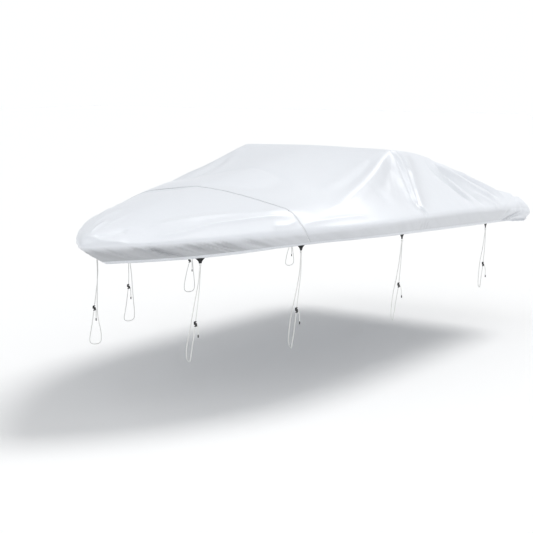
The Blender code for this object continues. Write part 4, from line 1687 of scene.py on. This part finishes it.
def smooth_route(points: Sequence[Point], turn: float = 7.0) -> list[Vector]:
    """Points of a smooth curve through a route, closer together where the curve turns.

    Args:
        points: the route.
        turn: degrees that the curve may turn between two points.

    Returns:
        The curve's points.
    """
    given = [Vector(p) for p in points]
    padded = [given[0] * 2 - given[1], *given, given[-1] * 2 - given[-2]]
    route = [given[0]]
    for before, start, end, after in zip(padded, padded[1:], padded[2:], padded[3:]):
        reach = (end - start).length
        leave = (end - before).normalized() * reach
        arrive = (after - start).normalized() * reach
        steps = max(2, math.ceil(math.degrees(leave.angle(arrive)) / turn))
        for i in range(1, steps + 1):
            t = i / steps
            route.append(start * (2 * t ** 3 - 3 * t ** 2 + 1) + leave * (t ** 3 - 2 * t ** 2 + t)
                         + end * (3 * t ** 2 - 2 * t ** 3) + arrive * (t ** 3 - t ** 2))
    return route


def tube(name: str, route: Sequence[Vector], radius: float, material: bpy.types.Material,
         sides: int = 12) -> bpy.types.Object:
    """A round tube along a route, with closed ends and a UV map in metres.

    Args:
        name: the piece's name.
        route: its centre line.
        radius: its radius.
        material: its material.
        sides: how many sides it has.

    Returns:
        The tube.
    """
    bm = bmesh.new()
    uv = bm.loops.layers.uv.new("UVMap")
    rings, lengths, length = [], [], 0.0
    normal = Vector((0, 1, 0))
    for i, place in enumerate(route):
        ahead = route[min(i + 1, len(route) - 1)] - route[max(i - 1, 0)]
        ahead.normalize()
        normal = (normal - ahead * normal.dot(ahead)).normalized()
        other = ahead.cross(normal)
        if i:
            length += (place - route[i - 1]).length
        lengths.append(length)
        rings.append([bm.verts.new(place + radius * (normal * math.cos(a) + other * math.sin(a)))
                      for a in (2 * math.pi * k / sides for k in range(sides))])
    for i, (low, high) in enumerate(zip(rings, rings[1:])):
        for k in range(sides):
            nxt = (k + 1) % sides
            face = bm.faces.new((low[k], low[nxt], high[nxt], high[k]))
            girth = 2 * math.pi * radius / sides
            corners = ((k * girth, lengths[i]), ((k + 1) * girth, lengths[i]),
                       ((k + 1) * girth, lengths[i + 1]), (k * girth, lengths[i + 1]))
            for loop, corner in zip(face.loops, corners):
                loop[uv].uv = corner
    bm.faces.new(reversed(rings[0]))
    bm.faces.new(rings[-1])
    bmesh.ops.recalc_face_normals(bm, faces=bm.faces)
    return new_object(name, bm, material)


@dataclass(frozen=True)
class Tie:
    """One tie: its route on the port side, the side that it is on, and its number from the bow."""

    route: TieRoute
    side: Side
    number: int

    @property
    def label(self) -> str:
        """The end of the names of its pieces and its nodes."""
        return f"{self.side.label}_{self.number}"


@dataclass(frozen=True)
class TieMaker:
    """Builds a tab and its tie: knot, ropes, cleat and tip."""

    form: CoverForm
    materials: Materials
    sewer: Sewer
    sizes: TieSizes = TieSizes()

    def place(self, point: Point, side: Side) -> Vector:
        """A port side's point, on the given side, in the part's frame."""
        return Vector(self.form.in_frame(point[0], -side.value * point[1], point[2]))

    def knot_place(self, station: float) -> Point:
        """The middle of the knot under the foot of the port side's tab.

        Args:
            station: the tab's station.

        Returns:
            The place, as station, y and height.
        """
        sizes = self.sizes
        half, height = (float(v) for v in self.form.hem_at(station))
        foot = height - sizes.tab_gap - sizes.tab_drop
        return (station, -(half - sizes.tab_inward),
                foot - sizes.touch - sizes.knot_radius * sizes.knot_stretch)

    def strands(self, tie: TieRoute) -> dict[str, list[Point]]:
        """The routes of the three ropes of a port side's tie, with their ends.

        Args:
            tie: the points that its ropes pass.

        Returns:
            The long strand's, the stay's and the free end's points.
        """
        sizes = self.sizes
        knot_x, knot_y, knot_z = self.knot_place(tie.tab)
        under = knot_z - sizes.knot_radius * sizes.knot_stretch - sizes.touch
        cleat_x, cleat_y, cleat_z = tie.cleat
        tip_x, tip_y, tip_z = tie.tip
        gap = 4 * sizes.touch
        reach = sizes.cleat_height / 2 + gap
        return {
            "long": [(knot_x - sizes.spread, knot_y, under), *tie.long,
                     (cleat_x - sizes.spread, cleat_y, cleat_z - reach)],
            "stay": [(knot_x + sizes.spread, knot_y, under), *tie.stay,
                     (cleat_x + sizes.spread, cleat_y, cleat_z + reach)],
            "free": [(cleat_x + sizes.cleat_width / 2 + sizes.rope / 2 + sizes.touch, cleat_y,
                      cleat_z - sizes.rope), *tie.free,
                     (tip_x, tip_y, tip_z + sizes.tip_length / 2 + gap)],
        }

    def finish(self, piece: bpy.types.Object, node: str, finish: Finish) -> bpy.types.Object:
        """Lets a piece ride on the cover and stand for its CAD node.

        Args:
            piece: the piece.
            node: the node that it replaces.
            finish: not used.

        Returns:
            The piece.
        """
        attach(piece, "root")
        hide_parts(node)
        return piece

    def tab(self, tie: Tie) -> None:
        """Builds the folded webbing tab, with concave edges and its bar tacks.

        Args:
            tie: the tie that it holds.
        """
        sizes, at = self.sizes, tie.route.tab
        half, height = (float(v) for v in self.form.hem_at(at))
        step = sizes.tab_width / 2
        ahead, back = ([float(v) for v in self.form.hem_at(at + s)] for s in (step, -step))
        turn, slope = ((a - b) / sizes.tab_width for a, b in zip(ahead, back))

        def grid_at(across: float, down: float) -> np.ndarray:
            """A point of the tab: across from -0.5 to 0.5, and down from 0 to 1."""
            x = across * (sizes.tab_foot + (sizes.tab_width - sizes.tab_foot) * (1 - down) ** 2)
            y = half + turn * x - sizes.tab_inward + sizes.tab_thick / 2
            level = slope * x - sizes.tab_gap - down * sizes.tab_drop
            return self.form.in_frame(at + x, tie.side.value * y, height + level)

        columns, rows = TAB_GRID
        bm = bmesh.new()
        bmesh.ops.create_grid(bm, x_segments=columns, y_segments=rows, size=0.5)
        for vert in bm.verts:
            vert.co = grid_at(vert.co.x, 0.5 - vert.co.y)
        bmesh.ops.recalc_face_normals(bm, faces=bm.faces)
        if sum(face.normal.y for face in bm.faces) * tie.side.value < 0:
            bmesh.ops.reverse_faces(bm, faces=bm.faces)
        piece = new_object(f"webbing_tab_{tie.label}", bm, self.materials.get(WEBBING))
        solid = piece.modifiers.new("folded", "SOLIDIFY")
        solid.thickness = sizes.tab_thick
        solid.offset = -1.0
        soften(piece, sizes.tab_edge, segments=2)
        self.tack(grid_at, tie.label)
        self.finish(piece, f"tab_{tie.label}", WEBBING)

    def tack(self, grid_at: Callable[[float, float], np.ndarray], label: str) -> None:
        """Sews a tab's bar tacks: two level rows of thread, and a cross between them.

        Args:
            grid_at: the tab's surface.
            label: the end of the piece's name.
        """
        rows = []
        for start, end in TACKS:
            points = np.array([grid_at(*(a + (b - a) * t for a, b in zip(start, end)))
                               for t in np.linspace(0.0, 1.0, TACK_POINTS)])
            out = (0.0, math.copysign(1.0, points[0][1]), 0.0)
            rows.append(SewnRow(points, np.tile(out, (TACK_POINTS, 1))))
        self.sewer.sew(f"stitches_tab_{label}", rows, TACK_THREAD)

    def knot(self, tie: Tie) -> bpy.types.Object:
        """Builds a small overhand knot of the rope, as a trefoil tube.

        Args:
            tie: the tie that it belongs to.

        Returns:
            The knot.
        """
        sizes = self.sizes
        centre = self.place(self.knot_place(tie.route.tab), tie.side)
        width = sizes.knot_radius - sizes.rope / 2
        route = []
        for k in range(KNOT_STEPS + 1):
            a = 2 * math.pi * k / KNOT_STEPS
            x = (math.sin(a) + 2 * math.sin(2 * a)) / 3
            z = (math.cos(a) - 2 * math.cos(2 * a)) / 3
            y = -math.sin(3 * a)
            route.append(centre + Vector((x * width, y * width * sizes.knot_depth,
                                          z * width * sizes.knot_stretch)))
        piece = tube(f"knot_of_{tie.label}", route, sizes.rope / 2,
                     self.materials.get(ROPE, True))
        return self.finish(piece, f"knot_{tie.label}", ROPE)

    def cleat(self, tie: Tie) -> bpy.types.Object:
        """Builds a moulded bar cleat with two hooks: an S-shaped outline with rounded edges.

        Args:
            tie: the tie that it belongs to.

        Returns:
            The cleat.
        """
        sizes = self.sizes
        half = [(x * sizes.cleat_width / 2, z * sizes.cleat_height / 2) for x, z in CLEAT_OUTLINE]
        outline = half + [(-x, -z) for x, z in half]
        centre = self.place(tie.route.cleat, tie.side)
        bm = bmesh.new()
        face = bm.faces.new([bm.verts.new(centre + Vector((x, -sizes.cleat_depth / 2, z)))
                             for x, z in outline])
        made = bmesh.ops.extrude_face_region(bm, geom=[face])["geom"]
        bmesh.ops.translate(bm, verts=made_of(bmesh.types.BMVert, made),
                            vec=(0.0, sizes.cleat_depth, 0.0))
        bmesh.ops.recalc_face_normals(bm, faces=bm.faces)
        piece = new_object(f"bar_cleat_{tie.label}", bm, self.materials.get(PLASTIC))
        soften(piece, sizes.cleat_edge, segments=3)
        return self.finish(piece, f"cleat_{tie.label}", PLASTIC)

    def tip(self, tie: Tie) -> bpy.types.Object:
        """Builds the tip: a tapered sleeve with a domed end and two grip rings.

        Args:
            tie: the tie that it belongs to.

        Returns:
            The tip.
        """
        sizes = self.sizes
        bm = bmesh.new()
        verts = [bm.verts.new((radius * sizes.tip_radius, 0.0, z * sizes.tip_length))
                 for radius, z in TIP_PROFILE]
        edges = [bm.edges.new(pair) for pair in zip(verts, verts[1:])]
        bmesh.ops.spin(bm, geom=verts + edges, cent=(0, 0, 0), axis=(0, 0, 1),
                       angle=2 * math.pi, steps=TIP_STEPS, use_merge=True)
        bmesh.ops.remove_doubles(bm, verts=bm.verts, dist=1e-6)
        bmesh.ops.recalc_face_normals(bm, faces=bm.faces)
        bmesh.ops.translate(bm, verts=bm.verts, vec=self.place(tie.route.tip, tie.side))
        piece = new_object(f"cord_tip_{tie.label}", bm, self.materials.get(PLASTIC))
        return self.finish(piece, f"tip_{tie.label}", PLASTIC)

    def build(self, tie: Tie) -> None:
        """Builds a tab with its whole tie.

        Args:
            tie: the tie.
        """
        self.tab(tie)
        ends = {"long": ("knot", "taut", self.knot(tie)),
                "stay": ("fitting", "taut", self.cleat(tie)),
                "free": ("fitting", "hanging", self.tip(tie))}
        for strand, points in self.strands(tie.route).items():
            route = smooth_route([tuple(self.place(p, tie.side)) for p in points])
            if strand == "long":
                route.reverse()
            rope = tube(f"cord_{strand}_{tie.label}", route, self.sizes.rope / 2,
                        self.materials.get(ROPE, True))
            self.finish(rope, f"rope_{strand}_{tie.label}", ROPE)
            length = sum((b - a).length for a, b in zip(route, route[1:]))
            far_end, lay, piece = ends[strand]
            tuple(route[0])


# --- Studio -------------------------------------------------------------------------------------


@dataclass(frozen=True)
class Viewpoint:
    """The photograph's viewpoint, fitted to its outlines."""

    image: int = 533
    focal: float = 1177.0
    turn: float = -54.0
    tilt: float = 9.22
    place: Point = (-8.2174, -5.47, 0.5776)
    sensor: float = 36.0
    clip_end: float = 100.0


@dataclass(frozen=True)
class SoftLight:
    """One far soft light: where it shines from, its spread, its power and its colour."""

    name: str
    place: Point
    spread: float
    power: float
    colour: Colour


LIGHTS = (
    SoftLight("overhead_key", (3.5, -0.8, 5.6), 26.0, 1.67, (1.0, 0.995, 0.985)),
    SoftLight("port_fill", (-0.2, -4.5, 5.0), 80.0, 0.50, (1.0, 1.0, 1.0)),
    SoftLight("bow_fill", (-4.2, 1.2, 4.6), 80.0, 0.66, (0.95, 0.975, 1.0)),
)


@dataclass
class Studio:
    """The plain floor, the soft lights, the pale surrounding and the camera."""

    viewpoint: Viewpoint = field(default_factory=Viewpoint)
    floor_height: float = -1.736
    floor_half: float = 60.0
    floor_shade: float = 0.91
    floor_roughness: float = 0.9
    sky_colour: Colour = (0.97, 0.985, 1.0)
    sky_rise: Span = (0.07, 0.28)
    sky_strength: Span = (1.03, 0.40)

    def camera(self) -> None:
        """Sets up the photograph's camera."""
        view = self.viewpoint
        data = bpy.data.cameras.new("photo_camera")
        data.sensor_width = view.sensor
        data.lens = view.focal / view.image * view.sensor
        data.clip_end = view.clip_end
        turn, tilt = math.radians(view.turn), math.radians(view.tilt)
        ahead = Vector((-math.sin(turn) * math.cos(tilt), math.cos(turn) * math.cos(tilt),
                        -math.sin(tilt)))
        right = Vector((math.cos(turn), math.sin(turn), 0.0))
        matrix = Matrix((right, right.cross(ahead), -ahead)).transposed().to_4x4()
        matrix.translation = view.place
        made = bpy.data.objects.new("photo_camera", data)
        bpy.context.scene.collection.objects.link(made)
        made.matrix_world = matrix
        bpy.context.scene.camera = made

    def floor(self) -> None:
        """A wide pale floor."""
        bm = bmesh.new()
        bmesh.ops.create_grid(bm, x_segments=1, y_segments=1, size=self.floor_half)
        bmesh.ops.translate(bm, verts=bm.verts, vec=(0.0, 0.0, self.floor_height))
        material = bpy.data.materials.new("pale_floor")
        material.use_nodes = True
        shader = material.node_tree.nodes["Principled BSDF"]
        shader.inputs["Base Color"].default_value = (*[self.floor_shade] * 3, 1.0)
        shader.inputs["Roughness"].default_value = self.floor_roughness
        new_object("studio_floor", bm, material, smooth=False)

    def lights(self) -> None:
        """Places the soft lights, which all look at the origin."""
        for light in LIGHTS:
            data = bpy.data.lights.new(light.name, "SUN")
            data.angle = math.radians(light.spread)
            data.energy = light.power
            data.color = light.colour
            made = bpy.data.objects.new(light.name, data)
            bpy.context.scene.collection.objects.link(made)
            made.location = light.place
            made.rotation_euler = (-Vector(light.place)).to_track_quat("-Z", "Y").to_euler()

    def surrounding(self) -> None:
        """A pale surrounding: bright at the horizon and dimmer overhead."""
        world = bpy.data.worlds.new("pale_surrounding")
        bpy.context.scene.world = world
        world.use_nodes = True
        net = NodeNet(world.node_tree)
        split = net.add("SeparateXYZ", {0: net.add("TexCoord").outputs["Generated"]})
        (low, high), (bright, dim) = self.sky_rise, self.sky_strength
        level = net.add("MapRange", {"Value": split.outputs[2], "From Min": low, "From Max": high,
                                     "To Min": bright, "To Max": dim},
                        interpolation_type="SMOOTHSTEP")
        background = world.node_tree.nodes["Background"]
        background.inputs["Color"].default_value = (*self.sky_colour, 1.0)
        world.node_tree.links.new(level.outputs["Result"], background.inputs["Strength"])
        bpy.context.scene.view_settings.view_transform = "Standard"


def main() -> None:
    """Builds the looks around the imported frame."""
    logging.basicConfig(level=logging.INFO)
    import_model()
    studio = Studio()
    studio.camera()
    materials = Materials()
    form = CoverForm(CoverSizes(), SECTIONS, HEM, FOLDS)
    sewer = Sewer(form, materials)
    ties = TieMaker(form, materials, sewer)
    for side in Side:
        for number, route in enumerate(TIES, 1):
            ties.build(Tie(route, side, number))
    cloth = ClothMaker(form, materials)
    for plan in (BOW_PANEL, MAIN_PANEL):
        panel = cloth.panel(plan)
    sewer.sew_all()
    studio.floor()
    studio.lights()
    studio.surrounding()


if __name__ == "__main__":
    main()
